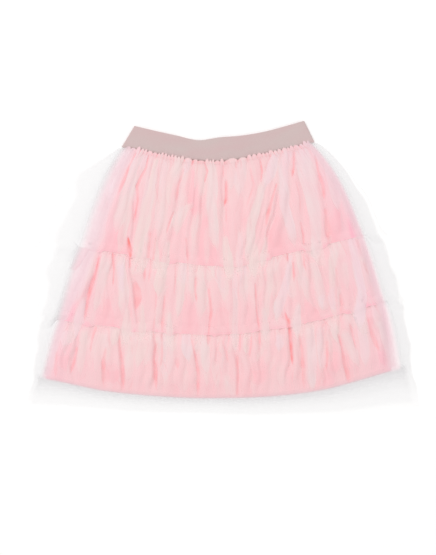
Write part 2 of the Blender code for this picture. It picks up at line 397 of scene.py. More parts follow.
TOP_PATCHES = marks(
    (0.8, 0.2, (-47, 142, 8), (-43, 118, 22), (-40, 92, 24), (-40, 66, 12)),
    (0.7, 0, (-150, 70, 8), (-157, 40, 28), (-160, 14, 36), (-162, -14, 30)),
    (0.7, 0.1, (-26, 70, 8), (-24, 44, 24), (-24, 8, 34), (-24, -26, 30)),
    (0.8, 0, (84, 72, 8), (82, 46, 22), (82, 22, 28), (82, -8, 26)),
    (0.7, 0, (172, 84, 8), (170, 58, 18), (168, 40, 20), (166, 14, 18)),
    (1, 1, (190, 90, 6), (197, 66, 18), (203, 48, 20), (208, 20, 18)),
    (0.5, 0, (-93, 22, 18), (-75, 10, 18), (-66, 4, 18)),
)
MIDDLE_FOLDS = marks(
    (0.6, 0.8, (-198, 22, 12), (-212, -20, 20), (-222, -60, 21)),
    (0.8, 0.1, (-174, 16, 9), (-177, -8, 14), (-183, -38, 12), (-192, -70, 7.5)),
    (0.8, 0.2, (-152, 14, 10.5), (-150, -15, 14), (-147, -45, 15), (-148, -80, 14)),
    (0.5, 0.1, (-128, 4, 15), (-132, -16, 14)),
    (1, 0, (-88, 28, 9), (-90, 0, 14), (-93, -30, 18), (-96, -50, 9)),
    (0.9, 0.1, (-58, 4, 9), (-62, -22, 12), (-62, -50, 12), (-68, -80, 7.5)),
    (0.6, 0.2, (-34, -2, 9), (-32, -26, 12), (-28, -52, 15), (-33, -82, 14)),
    (0.6, 0.1, (-14, -2, 9), (-9, -15, 9), (-3, -32, 4.5)),
    (0.7, 0.1, (2, -8, 14), (3, -32, 15), (2, -56, 10.5)),
    (0.6, 0.6, (18, -8, 7.5), (20, -52, 7.5), (20, -98, 9), (20, -123, 9)),
    (0.7, 0.1, (40, 4, 12), (36, -26, 9)),
    (0.7, 0.1, (80, 12, 18), (72, -15, 12), (68, -46, 9), (66, -86, 7.5)),
    (0.9, 0.5, (102, 15, 6), (100, -15, 10.5), (93, -38, 14), (86, -60, 15), (82, -86, 14)),
    (0.8, 0.1, (114, 18, 9), (118, 0, 12), (124, -22, 9), (129, -56, 7.5)),
    (0.7, 0.3, (136, 4, 12), (141, -16, 14), (147, -39, 15), (150, -68, 16)),
    (0.7, 0.1, (170, 33, 14), (166, 4, 12), (164, -24, 9), (165, -54, 9), (171, -82, 7.5)),
    (0.9, 0.6, (194, 39, 10.5), (198, 15, 10.5), (204, -10, 12), (210, -38, 14), (207, -69, 18),
     (204, -104, 14)),
    (0.5, 0.2, (184, 4, 9), (188, -38, 9)),
    (0.7, 0.6, (-208, -52, 8), (-214, -86, 17), (-219, -116, 13)),
    (0.8, 0.1, (-141, -66, 6), (-144, -94, 15), (-143, -119, 13)),
    (0.7, 0, (-121, -60, 6), (-120, -90, 12), (-121, -113, 11)),
    (0.7, 0.2, (-79, -72, 5), (-78, -98, 10), (-79, -121, 9)),
    (0.7, 0.3, (62, -66, 5), (65, -92, 10), (66, -114, 9)),
    (0.8, 0.4, (114, -60, 6), (112, -86, 14), (113, -109, 12)),
)
MIDDLE_CREASES = marks(
    (0.9, 0.3, (-184, 12, 6), (-189, -10, 6), (-196, -33, 7.5), (-202, -54, 6),
     (-207, -86, 4.5)),
    (0.9, 0, (-164, 18, 4.5), (-162, -8, 4.5), (-164, -33, 2)),
    (1.6, 0, (-140, 36, 6), (-138, 18, 7.5), (-134, 6, 3)),
    (1, 0, (-138, 12, 4.5), (-138, -6, 1.5)),
    (0.7, 0, (-116, 26, 4.5), (-116, 2, 4.5), (-116, -26, 6)),
    (0.6, 0, (-105, 22, 4.5), (-106, 2, 4.5), (-110, -26, 3)),
    (0.7, 0.1, (-131, -26, 8), (-128, -38, 17), (-126, -50, 15), (-130, -70, 6)),
    (0.6, 0, (-70, -3, 2), (-70, -24, 3), (-72, -46, 1.5)),
    (0.6, 0.1, (-86, -46, 3), (-88, -69, 4.5), (-90, -102, 7.5)),
    (0.5, 0, (-99, -40, 2), (-100, -75, 3), (-104, -106, 3)),
    (0.5, 0.2, (-51, 2, 3), (-52, -26, 3)),
    (0.8, 0, (-39, -18, 4.5), (-40, -38, 4.5), (-38, -56, 3)),
    (0.8, 0.1, (-20, -36, 4.5), (-16, -69, 6), (-20, -99, 3), (-21, -111, 4.5)),
    (0.4, 0, (26, -27, 3), (24, -48, 4.5)),
    (0.8, 0, (50, -28, 3), (51, -46, 4.5), (52, -69, 3), (56, -99, 4.5)),
    (0.9, 0, (98, 21, 3), (99, 3, 3)),
    (0.9, 0, (106, 4, 3), (108, -15, 4.5), (108, -28, 2)),
    (0.7, 0, (122, 16, 3), (123, 0, 4.5), (126, -9, 2)),
    (0.7, 0, (204, 39, 6), (208, 20, 3)),
    (0.7, 0.8, (214, 4, 9), (220, -16, 4.5)),
    (0.5, 0.2, (178, -44, 4.5), (180, -60, 7.5), (178, -72, 10.5)),
    (1.2, 0, (99, -80, 6), (102, -90, 7.5)),
    (0.4, 0, (171, -4, 3), (174, -38, 3)),
    (0.9, 0, (95, -72, 3), (99, -86, 8), (102, -104, 6)),
)
MIDDLE_PATCHES = marks(
    (0.6, 0.1, (-172, -50, 8), (-175, -72, 25), (-177, -92, 28), (-178, -116, 24)),
    (0.5, 0.3, (-46, -38, 6), (-49, -66, 20), (-51, -96, 30), (-51, -124, 26)),
    (0.6, 0, (126, -56, 8), (131, -76, 28), (136, -92, 30), (138, -116, 26)),
    (0.6, 0, (182, -66, 6), (184, -80, 15), (187, -92, 15), (190, -110, 12)),
    (0.8, 0.9, (212, -40, 6), (217, -54, 15), (222, -66, 15), (226, -84, 12)),
    (0.8, 1, (-226, -36, 8), (-229, -56, 22), (-232, -76, 24), (-234, -96, 20)),
    (0.5, 0, (-2, -64, 10), (3, -84, 34), (4, -98, 36), (4, -122, 30)),
)
BOTTOM_FOLDS = marks(
    (0.7, 0.4, (-230, -98, 15), (-237, -122, 21)),
    (0.5, 0.1, (-206, -98, 10.5), (-210, -128, 12), (-213, -166, 9)),
    (0.6, 0.1, (-178, -102, 12), (-186, -130, 12), (-189, -160, 9)),
    (0.8, 0, (-160, -96, 12), (-162, -122, 9)),
    (0.6, 0.1, (-135, -100, 18), (-138, -128, 15), (-141, -176, 12)),
    (0.7, 0, (-118, -110, 15), (-123, -135, 15), (-128, -156, 12)),
    (0.7, 0, (-96, -108, 6), (-96, -136, 6)),
    (0.8, 0.3, (-80, -88, 14), (-81, -120, 15), (-81, -146, 15), (-86, -176, 14)),
    (0.8, 0.6, (-54, -104, 12), (-52, -123, 18), (-50, -146, 15)),
    (0.7, 0.2, (-26, -112, 10.5), (-24, -142, 14), (-24, -168, 9)),
    (0.6, 0.1, (-4, -110, 9), (0, -134, 7.5)),
    (0.7, 0.3, (18, -104, 9), (20, -130, 9)),
    (0.7, 0, (36, -108, 9), (36, -134, 10.5)),
    (0.5, 0, (66, -118, 7.5), (60, -130, 7.5), (51, -144, 6)),
    (0.8, 0.7, (86, -104, 15), (86, -130, 12)),
    (1, 0.3, (132, -94, 12), (134, -128, 15), (135, -158, 14), (136, -192, 12)),
    (0.7, 0.6, (147, -94, 10.5), (148, -128, 10.5), (150, -160, 10.5)),
    (0.7, 0.1, (164, -86, 12), (174, -117, 10.5)),
    (0.7, 0.3, (184, -102, 10.5), (195, -128, 15), (206, -153, 12)),
    (0.7, 0.6, (208, -80, 14), (213, -120, 14), (216, -153, 12)),
    (0.6, 0.4, (237, -86, 9), (249, -124, 12), (256, -153, 10.5)),
    (0.5, 0.9, (-252, -120, 10.5), (-258, -160, 12)),
    (0.4, 0.2, (-9, -150, 12), (-8, -184, 12)),
    (0.4, 0.2, (87, -150, 12), (90, -184, 14)),
)
BOTTOM_CREASES = marks(
    (0.72, 0.1, (-218, -124, 4.5), (-222, -146, 6), (-228, -164, 3)),
    (0.72, 0, (-189, -93, 6), (-195, -112, 4.5), (-198, -132, 3)),
    (0.66, 0.1, (-174, -124, 4.5), (-178, -146, 7.5), (-178, -182, 6)),
    (0.4, 0, (-170, -96, 4.5), (-168, -122, 4.5)),
    (0.66, 0.1, (-154, -105, 4), (-153, -128, 6), (-150, -152, 7.5), (-148, -186, 6)),
    (0.72, 0.1, (-105, -96, 4.5), (-100, -120, 6), (-102, -142, 4.5), (-100, -159, 9),
     (-99, -189, 4.5)),
    (0.6, 0, (-90, -104, 4.5), (-90, -136, 4.5), (-93, -156, 3)),
    (0.5, 0.1, (-68, -141, 7.5), (-66, -156, 6)),
    (0.72, 0.1, (-46, -111, 3), (-40, -135, 4.5), (-36, -160, 6), (-36, -196, 4.5)),
    (0.72, 0, (-21, -102, 4.5), (-21, -122, 4)),
    (0.4, 0, (0, -112, 3), (6, -132, 4.5), (10, -148, 3)),
    (0.5, 0.3, (10, -102, 4.5), (10, -117, 3)),
    (0.6, 0, (27, -104, 3), (27, -122, 4), (26, -132, 3)),
    (0.6, 0, (44, -99, 3), (44, -120, 4), (40, -141, 2)),
    (0.66, 0.1, (22, -136, 6), (24, -165, 6), (22, -201, 4.5)),
    (0.72, 0, (56, -96, 4.5), (57, -122, 4)),
    (1.15, 0, (101, -84, 6), (102, -105, 6), (104, -128, 6), (106, -152, 3)),
    (0.66, 0, (116, -104, 4.5), (120, -130, 6), (122, -159, 7.5), (124, -189, 6)),
    (0.66, 0.1, (158, -114, 6), (158, -136, 6), (156, -159, 3)),
    (0.72, 0.2, (174, -104, 4.5), (180, -124, 4.5), (184, -144, 9), (192, -182, 7.5)),
    (0.6, 0, (192, -88, 4.5), (196, -105, 4.5), (202, -130, 3)),
    (0.6, 0.3, (220, -81, 6), (226, -105, 9), (236, -130, 9)),
    (0.5, 0.6, (-249, -130, 6), (-250, -170, 9)),
    (0.4, 0, (-135, -122, 3), (-134, -136, 4.5)),
)
BOTTOM_PATCHES = marks(
    (0.5, 0, (-236, -135, 21), (-234, -160, 21)),
    (0.7, 0.1, (-165, -158, 21), (-164, -178, 21)),
    (0.6, 0, (54, -158, 24), (54, -180, 24)),
    (0.5, 0.2, (166, -130, 21), (168, -164, 24)),
    (0.6, 0.9, (243, -128, 21), (249, -154, 21)),
    (0.5, 0.4, (154, -170, 24), (170, -178, 21)),
    (0.4, 0, (-78, -190, 27), (-63, -190, 24)),
)

TOP_TIER = TierPlan(
    node="tier_top",
    upper=WAIST,
    lower=SEAM_ONE,
    bulges=(8.0, 13.0),
    first_waves=2,
    troughs=(
        Trough(-129.0, -187.5, 0.9, 0.3, 3),
        Trough(-112.5, -139.5, 0.5, 1.0, 4),
        Trough(-57.0, -81.0, 0.8, 0.6, 3),
        Trough(-25.5, -33.0, 0.9, 0.5, 2),
        Trough(3.0, 0.0, 1.0, 0.6, 2),
        Trough(60.0, 24.0, 0.8, 0.4, 3),
        Trough(90.0, 60.0, 0.6, 0.9, 2),
        Trough(108.0, 121.5, 0.9, 0.8, 2),
        Trough(122.0, 159.0, 0.6, 0.9, 2),
    ),
    lifts=((0.0, 1.2), (0.16, 3.6), (0.45, 7.0), (0.8, 6.2), (1.0, 1.6)),
    folds=TOP_FOLDS,
    creases=TOP_CREASES,
    patches=TOP_PATCHES,
    length=156.0,
    head=6.0,
    rows=78,
    fade=((13.0, 22.0), (5.0, 6.0)),
    veil=((10.0, 52.0, 46.0, 50.0, 46.0), (10.0, 17.0, 20.0, 23.0, 25.0)),
    cut=(0.95, 0.162),
    seed=11,
)
MIDDLE_TIER = TierPlan(
    node="tier_middle",
    upper=SEAM_ONE,
    lower=SEAM_TWO,
    bulges=(2.0, 1.0),
    first_waves=2,
    troughs=(
        Trough(-184.5, -204.0, 0.9, 0.8, 2),
        Trough(-162.0, -171.0, 0.8, 0.3, 3),
        Trough(-136.5, -124.5, 0.5, 1.0, 1),
        Trough(-109.5, -108.0, 0.6, 0.3, 1),
        Trough(-84.0, -87.6, 0.3, 0.9, 3),
        Trough(-39.0, -42.0, 0.8, 0.4, 1),
        Trough(-21.0, -19.5, 0.5, 0.8, 4),
        Trough(54.0, 54.0, 0.8, 0.5, 3),
        Trough(85.5, 98.0, 0.2, 1.0, 1),
        Trough(99.0, 112.5, 0.8, 0.5, 1),
        Trough(118.5, 127.0, 0.6, 0.3, 3),
        Trough(163.5, 181.5, 0.4, 0.8, 2),
        Trough(189.0, 216.0, 0.5, 0.8, 2),
    ),
    lifts=((0.0, 1.6), (0.2, 9.0), (0.55, 8.0), (0.82, 6.0), (1.0, 1.6)),
    folds=MIDDLE_FOLDS,
    creases=MIDDLE_CREASES,
    patches=MIDDLE_PATCHES,
    length=102.0,
    head=4.0,
    rows=58,
    fade=((22.0, 9.0), (7.0, 8.0)),
    veil=((48.0, 46.0, 38.0, 32.0, 30.0), (25.0, 27.0, 28.0, 26.0, 24.0)),
    cut=(1.15, 0.11),
    seed=23,
)
BOTTOM_TIER = TierPlan(
    node="tier_bottom",
    upper=SEAM_TWO,
    lower=HEM,
    bulges=(2.0, 3.0),
    first_waves=3,
    troughs=(
        Trough(-213.0, -225.0, 0.5, 0.9, 1),
        Trough(-195.0, -201.0, 0.9, 0.3, 1),
        Trough(-174.0, -178.5, 0.3, 0.9, 2),
        Trough(-150.0, -151.5, 0.5, 1.0, 3),
        Trough(-100.5, -102.0, 0.8, 0.9, 1),
        Trough(-87.0, -86.0, 0.8, 0.5, 3),
        Trough(-36.0, -34.5, 0.4, 1.0, 4),
        Trough(24.0, 24.0, 0.4, 1.0, 2),
        Trough(55.5, 57.0, 0.9, 0.4, 3),
        Trough(100.5, 100.5, 1.0, 0.5, 1),
        Trough(114.0, 124.5, 0.5, 1.0, 2),
        Trough(154.0, 156.0, 0.8, 0.8, 2),
        Trough(175.0, 190.0, 0.5, 0.9, 1),
        Trough(195.0, 208.0, 0.8, 0.4, 1),
        Trough(220.5, 233.0, 0.9, 0.4, 2),
    ),
    lifts=((0.0, 1.6), (0.2, 9.0), (0.55, 8.5), (1.0, 7.0)),
    folds=BOTTOM_FOLDS,
    creases=BOTTOM_CREASES,
    patches=BOTTOM_PATCHES,
    length=103.0,
    head=4.0,
    rows=58,
    fade=((9.0, 7.0), (9.0, 16.0)),
    veil=((30.0, 26.0, 22.0, 18.0, 14.5), (24.0, 22.0, 20.0, 18.0, 16.0)),
    cut=(1.3, 0.11),
    seed=37,
)


def ease(share: np.ndarray) -> np.ndarray:
    """Smooth step from 0 to 1."""
    share = np.clip(share, 0.0, 1.0)
    return share * share * (3.0 - 2.0 * share)


def vary(index: float, salt: float) -> float:
    """Even-handed number from 0 to 1 that is fixed for an index."""
    value = math.sin(index * 12.9898 + salt * 78.233) * 43758.5453
    return value - math.floor(value)


def in_plan(upper: Arc, lower: Arc, side: np.ndarray, down: np.ndarray,
            bulges: tuple[float, float]) -> tuple[np.ndarray, np.ndarray]:
    """Points between two arcs, with the outline rounded out at the sides.

    Args:
        upper: the arc that down 0 lies on.
        lower: the arc that down 1 lies on.
        side: sides from -1 to 1.
        down: share of the way from the upper arc to the lower one.
        bulges: how far the left and right outlines round out.

    Returns:
        Positions across and heights on the plan.
    """
    x = upper.x_at(side) * (1.0 - down) + lower.x_at(side) * down
    y = upper.y_at(side) * (1.0 - down) + lower.y_at(side) * down
    bulge = np.where(side > 0.0, bulges[1], bulges[0])
    round_out = np.sin(np.pi * np.clip(down, 0.0, 1.0) ** 0.7)
    return x + np.sign(side) * np.abs(side) ** 3 * bulge * round_out, y


@dataclass(frozen=True)
class TulleFinish:
    """Pink ply: matt cloth, more lilac towards its sides; its creases get painted shade over their
    denser colour, and painted shadow lies between the heads on the band.
    """

    name: str
    pale: tuple[float, float, float] = (0.91, 0.60, 0.635)
    pink: tuple[float, float, float] = (0.93, 0.50, 0.548)
    # Creases turn towards this colour, partly the denser colour of plies seen edge-on and partly
    # painted shade; bare patches take some of it, and it is painted shadow between the heads on
    # the band
    depth_and_shade: tuple[float, float, float] = (0.935, 0.395, 0.422)
    # Painted shade of the strongest creases
    hot_shade: tuple[float, float, float] = (0.96, 0.18, 0.15)
    lilac: tuple[float, float, float] = (0.93, 0.48, 0.61)
    roughness: float = 0.9
    sheen: float = 0.2
    net: float = 900.0
    net_bump: float = 0.1


@dataclass(frozen=True)
class SheerFinish:
    """Sheer ply: pale tulle that thickens to the eye where it folds over itself, and turns grey as
    a painted soft shadow past the pink one.
    """

    name: str
    peach: tuple[float, float, float] = (0.83, 0.652, 0.636)
    lilac: tuple[float, float, float] = (0.84, 0.635, 0.715)
    blush: tuple[float, float, float] = (0.835, 0.60, 0.65)
    # Painted shadow: the grey of the ply past the outline and below the hem, standing for the
    # skirt's soft shadow on the floor
    veil: tuple[float, float, float] = (0.54, 0.525, 0.545)
    roughness: float = 0.9
    sheen: float = 0.2
    net: float = 900.0
    net_bump: float = 0.1


@dataclass(frozen=True)
class ElasticFinish:
    """Woven elastic: dusty rose, greyer towards its middle, with fine ribs, and a painted shadow
    along its front's low edge.
    """

    name: str = "woven_elastic"
    rose: tuple[float, float, float] = (0.595, 0.436, 0.436)
    grey: tuple[float, float, float] = (0.575, 0.468, 0.455)
    fleck: tuple[float, float, float] = (0.8, 0.68, 0.68)
    # Painted shadow along the low edge of the band's front, where the gathers tuck under it; it
    # shows between their heads
    under: tuple[float, float, float] = (0.33, 0.185, 0.185)
    shadow_share: float = 0.72
    roughness: float = 0.86
    sheen: float = 0.15
    ribs: float = 1150.0
    rib_bump: float = 0.3


@dataclass(frozen=True)
class ThreadFinish:
    """Sewing thread in the colour of what it sews."""

    name: str
    colour: tuple[float, float, float]
    roughness: float = 0.6
    sheen: float = 0.1


@dataclass(frozen=True)
class FloorFinish:
    """Plain white paper under the skirt."""

    name: str = "white_paper"
    colour: tuple[float, float, float] = (0.98, 0.98, 0.98)
    roughness: float = 0.9


class Graph:
    """Node tree, with short ways to add and join nodes."""

    def __init__(self, tree: bpy.types.NodeTree) -> None:
        """Work on a node tree."""
        self.tree = tree

    def node(self, kind: str, **values: object) -> bpy.types.Node:
        """Add a node.

        Args:
            kind: the node's Blender type.
            values: attributes to set on it.

        Returns:
            The new node.
        """
        made = self.tree.nodes.new(kind)
        for key, value in values.items():
            setattr(made, key, value)
        return made

    def join(self, output: bpy.types.NodeSocket, entry: bpy.types.NodeSocket) -> None:
        """Link two sockets."""
        self.tree.links.new(output, entry)

    def math(self, operation: str, first: object, second: object) -> bpy.types.NodeSocket:
        """Add a math node.

        Args:
            operation: what it does.
            first: its first entry, a socket or a number.
            second: its second entry, a socket or a number.

        Returns:
            The node's result.
        """
        made = self.node("ShaderNodeMath", operation=operation)
        for entry, value in zip(made.inputs, (first, second)):
            if isinstance(value, (int, float)):
                entry.default_value = value
            else:
                self.join(value, entry)
        return made.outputs[0]


class Shade(Graph):
    """Node graph of one material."""

    def __init__(self, name: str) -> None:
        """Start a material with one Principled shader."""
        self.material = bpy.data.materials.new(name)
        self.material.use_nodes = True
        super().__init__(self.material.node_tree)
        self.shader = self.tree.nodes["Principled BSDF"]

    def attribute(self, name: str) -> bpy.types.NodeSocket:
        """Value of a mesh attribute."""
        made = self.node("ShaderNodeAttribute", attribute_name=name)
        return made.outputs["Fac"]

    def blend(self, share: object, first: object, second: object) -> bpy.types.NodeSocket:
        """Mix two colours.

        Args:
            share: how much of the second colour there is, a socket or a number.
            first: a socket or a colour.
            second: a socket or a colour.

        Returns:
            The mixed colour.
        """
        made = self.node("ShaderNodeMix", data_type="RGBA")
        factor, colour_a, colour_b = made.inputs[0], made.inputs[6], made.inputs[7]
        for entry, value in ((factor, share), (colour_a, first), (colour_b, second)):
            if isinstance(value, (int, float)):
                entry.default_value = value
            elif isinstance(value, tuple):
                entry.default_value = (*value, 1.0)
            else:
                self.join(value, entry)
        return made.outputs[2]

    def noise(self, scale: tuple[float, float, float], detail: float = 3.0,
              use_uv: bool = True) -> bpy.types.NodeSocket:
        """Noise stretched along the surface.

        Args:
            scale: repeats per metre along each coordinate.
            detail: octaves of the noise.
            use_uv: follow the cloth's own map, or else the object's place.

        Returns:
            The noise's value socket.
        """
        place = self.node("ShaderNodeTexCoord")
        stretch = self.node("ShaderNodeMapping")
        stretch.inputs["Scale"].default_value = scale
        self.join(place.outputs["UV" if use_uv else "Object"], stretch.inputs["Vector"])
        made = self.node("ShaderNodeTexNoise")
        made.inputs["Scale"].default_value = 1.0
        made.inputs["Detail"].default_value = detail
        self.join(stretch.outputs["Vector"], made.inputs["Vector"])
        return made.outputs["Fac"]

    def levels(self, value: bpy.types.NodeSocket, low: float, high: float) -> bpy.types.NodeSocket:
        """Stretch a value so that low becomes 0 and high 1, and clip it there.

        Args:
            value: the socket to stretch.
            low: what becomes 0.
            high: what becomes 1.

        Returns:
            The stretched value.
        """
        made = self.node("ShaderNodeMapRange", clamp=True)
        made.inputs["From Min"].default_value = low
        made.inputs["From Max"].default_value = high
        self.join(value, made.inputs["Value"])
        return made.outputs["Result"]

    def group(self, tree: bpy.types.NodeTree, **values: float) -> bpy.types.Node:
        """Add a shader group.

        Args:
            tree: the group.
            values: numbers for its entries, by name in small letters.

        Returns:
            The group's node.
        """
        made = self.node("ShaderNodeGroup", node_tree=tree)
        for key, value in values.items():
            made.inputs[key.replace("_", " ").title()].default_value = value
        return made


def net_group() -> bpy.types.NodeTree:
    """Shader group of a fine diamond net on the cloth's own map.

    Returns:
        The group, with inputs Repeats and Thread and outputs Mask and Height.
    """
    tree = bpy.data.node_groups.new("fine_net", "ShaderNodeTree")
    for way, names in (("INPUT", ("Repeats", "Thread")), ("OUTPUT", ("Mask", "Height"))):
        for name in names:
            tree.interface.new_socket(name, in_out=way, socket_type="NodeSocketFloat")
    graph = Graph(tree)
    entry, leave = graph.node("NodeGroupInput"), graph.node("NodeGroupOutput")
    parts = graph.node("ShaderNodeSeparateXYZ")
    graph.join(graph.node("ShaderNodeTexCoord").outputs["UV"], parts.inputs[0])
    waves = []
    for operation in ("ADD", "SUBTRACT"):
        lean = graph.math(operation, parts.outputs[0], parts.outputs[1])
        scaled = graph.math("MULTIPLY", lean, entry.outputs["Repeats"])
        waves.append(graph.math("PINGPONG", scaled, 0.5))
    thread = graph.node("ShaderNodeMapRange")
    thread.inputs["To Min"].default_value = 1.0
    thread.inputs["To Max"].default_value = 0.0
    graph.join(graph.math("MINIMUM", *waves), thread.inputs["Value"])
    graph.join(entry.outputs["Thread"], thread.inputs["From Max"])
    for name in ("Mask", "Height"):
        graph.join(thread.outputs["Result"], leave.inputs[name])
    return tree


class Finishes:
    """Makes each material once, and hands it to the pieces."""

    def __init__(self) -> None:
        """Build the shared groups."""
        self.net = net_group()

    def tulle(self, finish: TulleFinish) -> bpy.types.Material:
        """Pink ply.

        Args:
            finish: its colours and sizes.

        Returns:
            The material.
        """
        shade = Shade(finish.name)
        streak = shade.levels(shade.noise((110.0, 14.0, 1.0)), 0.36, 0.66)
        cloud = shade.levels(shade.noise((24.0, 18.0, 1.0), 2.0), 0.38, 0.64)
        base = shade.blend(shade.math("MULTIPLY", streak, 0.45), finish.pink, finish.pale)
        base = shade.blend(shade.math("MULTIPLY", cloud, 0.35), base, finish.pale)
        base = shade.blend(shade.attribute("lilac"), base, finish.lilac)
        # Creases, bare patches and the gaps between the heads on the band: partly denser colour,
        # partly painted shade, strongest in the darkest creases
        depth_and_shade = shade.attribute("depth_and_shade")
        base = shade.blend(shade.math("MINIMUM", depth_and_shade, 1.0), base, finish.depth_and_shade)
        base = shade.blend(shade.levels(depth_and_shade, 0.95, 1.6), base, finish.hot_shade)
        net = shade.group(self.net, repeats=finish.net, thread=0.3)
        threads = shade.math("MULTIPLY", net.outputs["Mask"], 0.12)
        base = shade.blend(threads, base, finish.pale)
        shade.join(base, shade.shader.inputs["Base Color"])
        self._relief(shade, net.outputs["Height"], finish.net_bump, NET_DEPTH)
        return self._close(shade, finish.roughness, finish.sheen)

    def sheer(self, finish: SheerFinish) -> bpy.types.Material:
        """Sheer ply.

        Args:
            finish: its colours and sizes.

        Returns:
            The material.
        """
        shade = Shade(finish.name)
        streak = shade.levels(shade.noise((150.0, 9.0, 1.0)), 0.3, 0.7)
        cloud = shade.levels(shade.noise((28.0, 20.0, 1.0), 2.0), 0.35, 0.65)
        base = shade.blend(shade.attribute("lilac"), finish.peach, finish.lilac)
        base = shade.blend(shade.attribute("blush"), base, finish.blush)
        # Painted shadow: the ply turns grey past the outline and below the hem
        base = shade.blend(shade.attribute("veil"), base, finish.veil)
        shade.join(base, shade.shader.inputs["Base Color"])
        net = shade.group(self.net, repeats=finish.net, thread=0.34)
        threads = shade.math("ADD", shade.math("MULTIPLY", net.outputs["Mask"], 0.2), 0.9)
        strength = shade.math("ADD", shade.math("MULTIPLY", streak, 0.35), 0.65)
        strength = shade.math("ADD", strength, shade.math("MULTIPLY", cloud, 0.35))
        edging = shade.math("MAXIMUM", shade.attribute("veil"), shade.attribute("blush"))
        even = shade.math("MULTIPLY", edging, shade.math("SUBTRACT", 1.0, strength))
        strength = shade.math("ADD", strength, even)
        cover = shade.math("MULTIPLY", shade.attribute("cover"), strength)
        cover = shade.math("MULTIPLY", cover, threads)
        shade.join(shade.math("MINIMUM", cover, 1.0), shade.shader.inputs["Alpha"])
        self._relief(shade, net.outputs["Height"], finish.net_bump, NET_DEPTH)
        return self._close(shade, finish.roughness, finish.sheen)

    def elastic(self, finish: ElasticFinish) -> bpy.types.Material:
        """Woven elastic of the band.

        Args:
            finish: its colours and sizes.

        Returns:
            The material.
        """
        shade = Shade(finish.name)
        cloud = shade.levels(shade.noise((14.0, 40.0, 1.0), 2.0), 0.36, 0.66)
        fleck = shade.levels(shade.noise((500.0, 900.0, 1.0), 2.0), 0.3, 0.7)
        base = shade.blend(cloud, finish.rose, finish.grey)
        base = shade.blend(shade.math("MULTIPLY", fleck, 0.14), base, finish.fleck)
        # Painted shadow along the band's low edge
        under = shade.math("MULTIPLY", shade.attribute("under"), finish.shadow_share)
        base = shade.blend(under, base, finish.under)
        shade.join(base, shade.shader.inputs["Base Color"])
        place = shade.node("ShaderNodeTexCoord")
        parts = shade.node("ShaderNodeSeparateXYZ")
        shade.join(place.outputs["UV"], parts.inputs[0])
        ribs = shade.math("MULTIPLY", parts.outputs[1], finish.ribs)
        rib = shade.math("PINGPONG", ribs, 0.5)
        wefts = shade.math("MULTIPLY", parts.outputs[0], finish.ribs * 1.3)
        weft = shade.math("PINGPONG", wefts, 0.5)
        height = shade.math("ADD", rib, shade.math("MULTIPLY", weft, 0.5))
        self._relief(shade, height, finish.rib_bump, RIB_DEPTH)
        return self._close(shade, finish.roughness, finish.sheen)

    def thread(self, finish: ThreadFinish) -> bpy.types.Material:
        """Sewing thread.

        Args:
            finish: its colour.

        Returns:
            The material.
        """
        shade = Shade(finish.name)
        twist = shade.levels(shade.noise((900.0, 900.0, 900.0), 1.0, use_uv=False), 0.3, 0.7)
        darker = tuple(part * 0.82 for part in finish.colour)
        shade.join(shade.blend(twist, finish.colour, darker), shade.shader.inputs["Base Color"])
        return self._close(shade, finish.roughness, finish.sheen)

    def floor(self, finish: FloorFinish) -> bpy.types.Material:
        """Floor under the skirt.

        Args:
            finish: its colour.

        Returns:
            The material.
        """
        shade = Shade(finish.name)
        shade.shader.inputs["Base Color"].default_value = (*finish.colour, 1.0)
        return self._close(shade, finish.roughness, 0.0)

    @staticmethod
    def _relief(shade: Shade, height: bpy.types.NodeSocket, strength: float,
                distance: float) -> None:
        """Bump the surface.

        Args:
            shade: the material.
            height: height of the bumps, from 0 to 1.
            strength: how strongly they show.
            distance: their height in metres.
        """
        bump = shade.node("ShaderNodeBump")
        bump.inputs["Strength"].default_value = strength
        bump.inputs["Distance"].default_value = distance
        shade.join(height, bump.inputs["Height"])
        shade.join(bump.outputs["Normal"], shade.shader.inputs["Normal"])

    @staticmethod
    def _close(shade: Shade, roughness: float, sheen: float) -> bpy.types.Material:
        """Set the plain sockets.

        Args:
            shade: the material's graph.
            roughness: how matt it is.
            sheen: how much fuzz it shows.

        Returns:
            The finished material.
        """
        shade.shader.inputs["Roughness"].default_value = roughness
        shade.shader.inputs["Sheen Weight"].default_value = sheen
        shade.shader.inputs["Specular IOR Level"].default_value = CLOTH_SPECULAR
        return shade.material


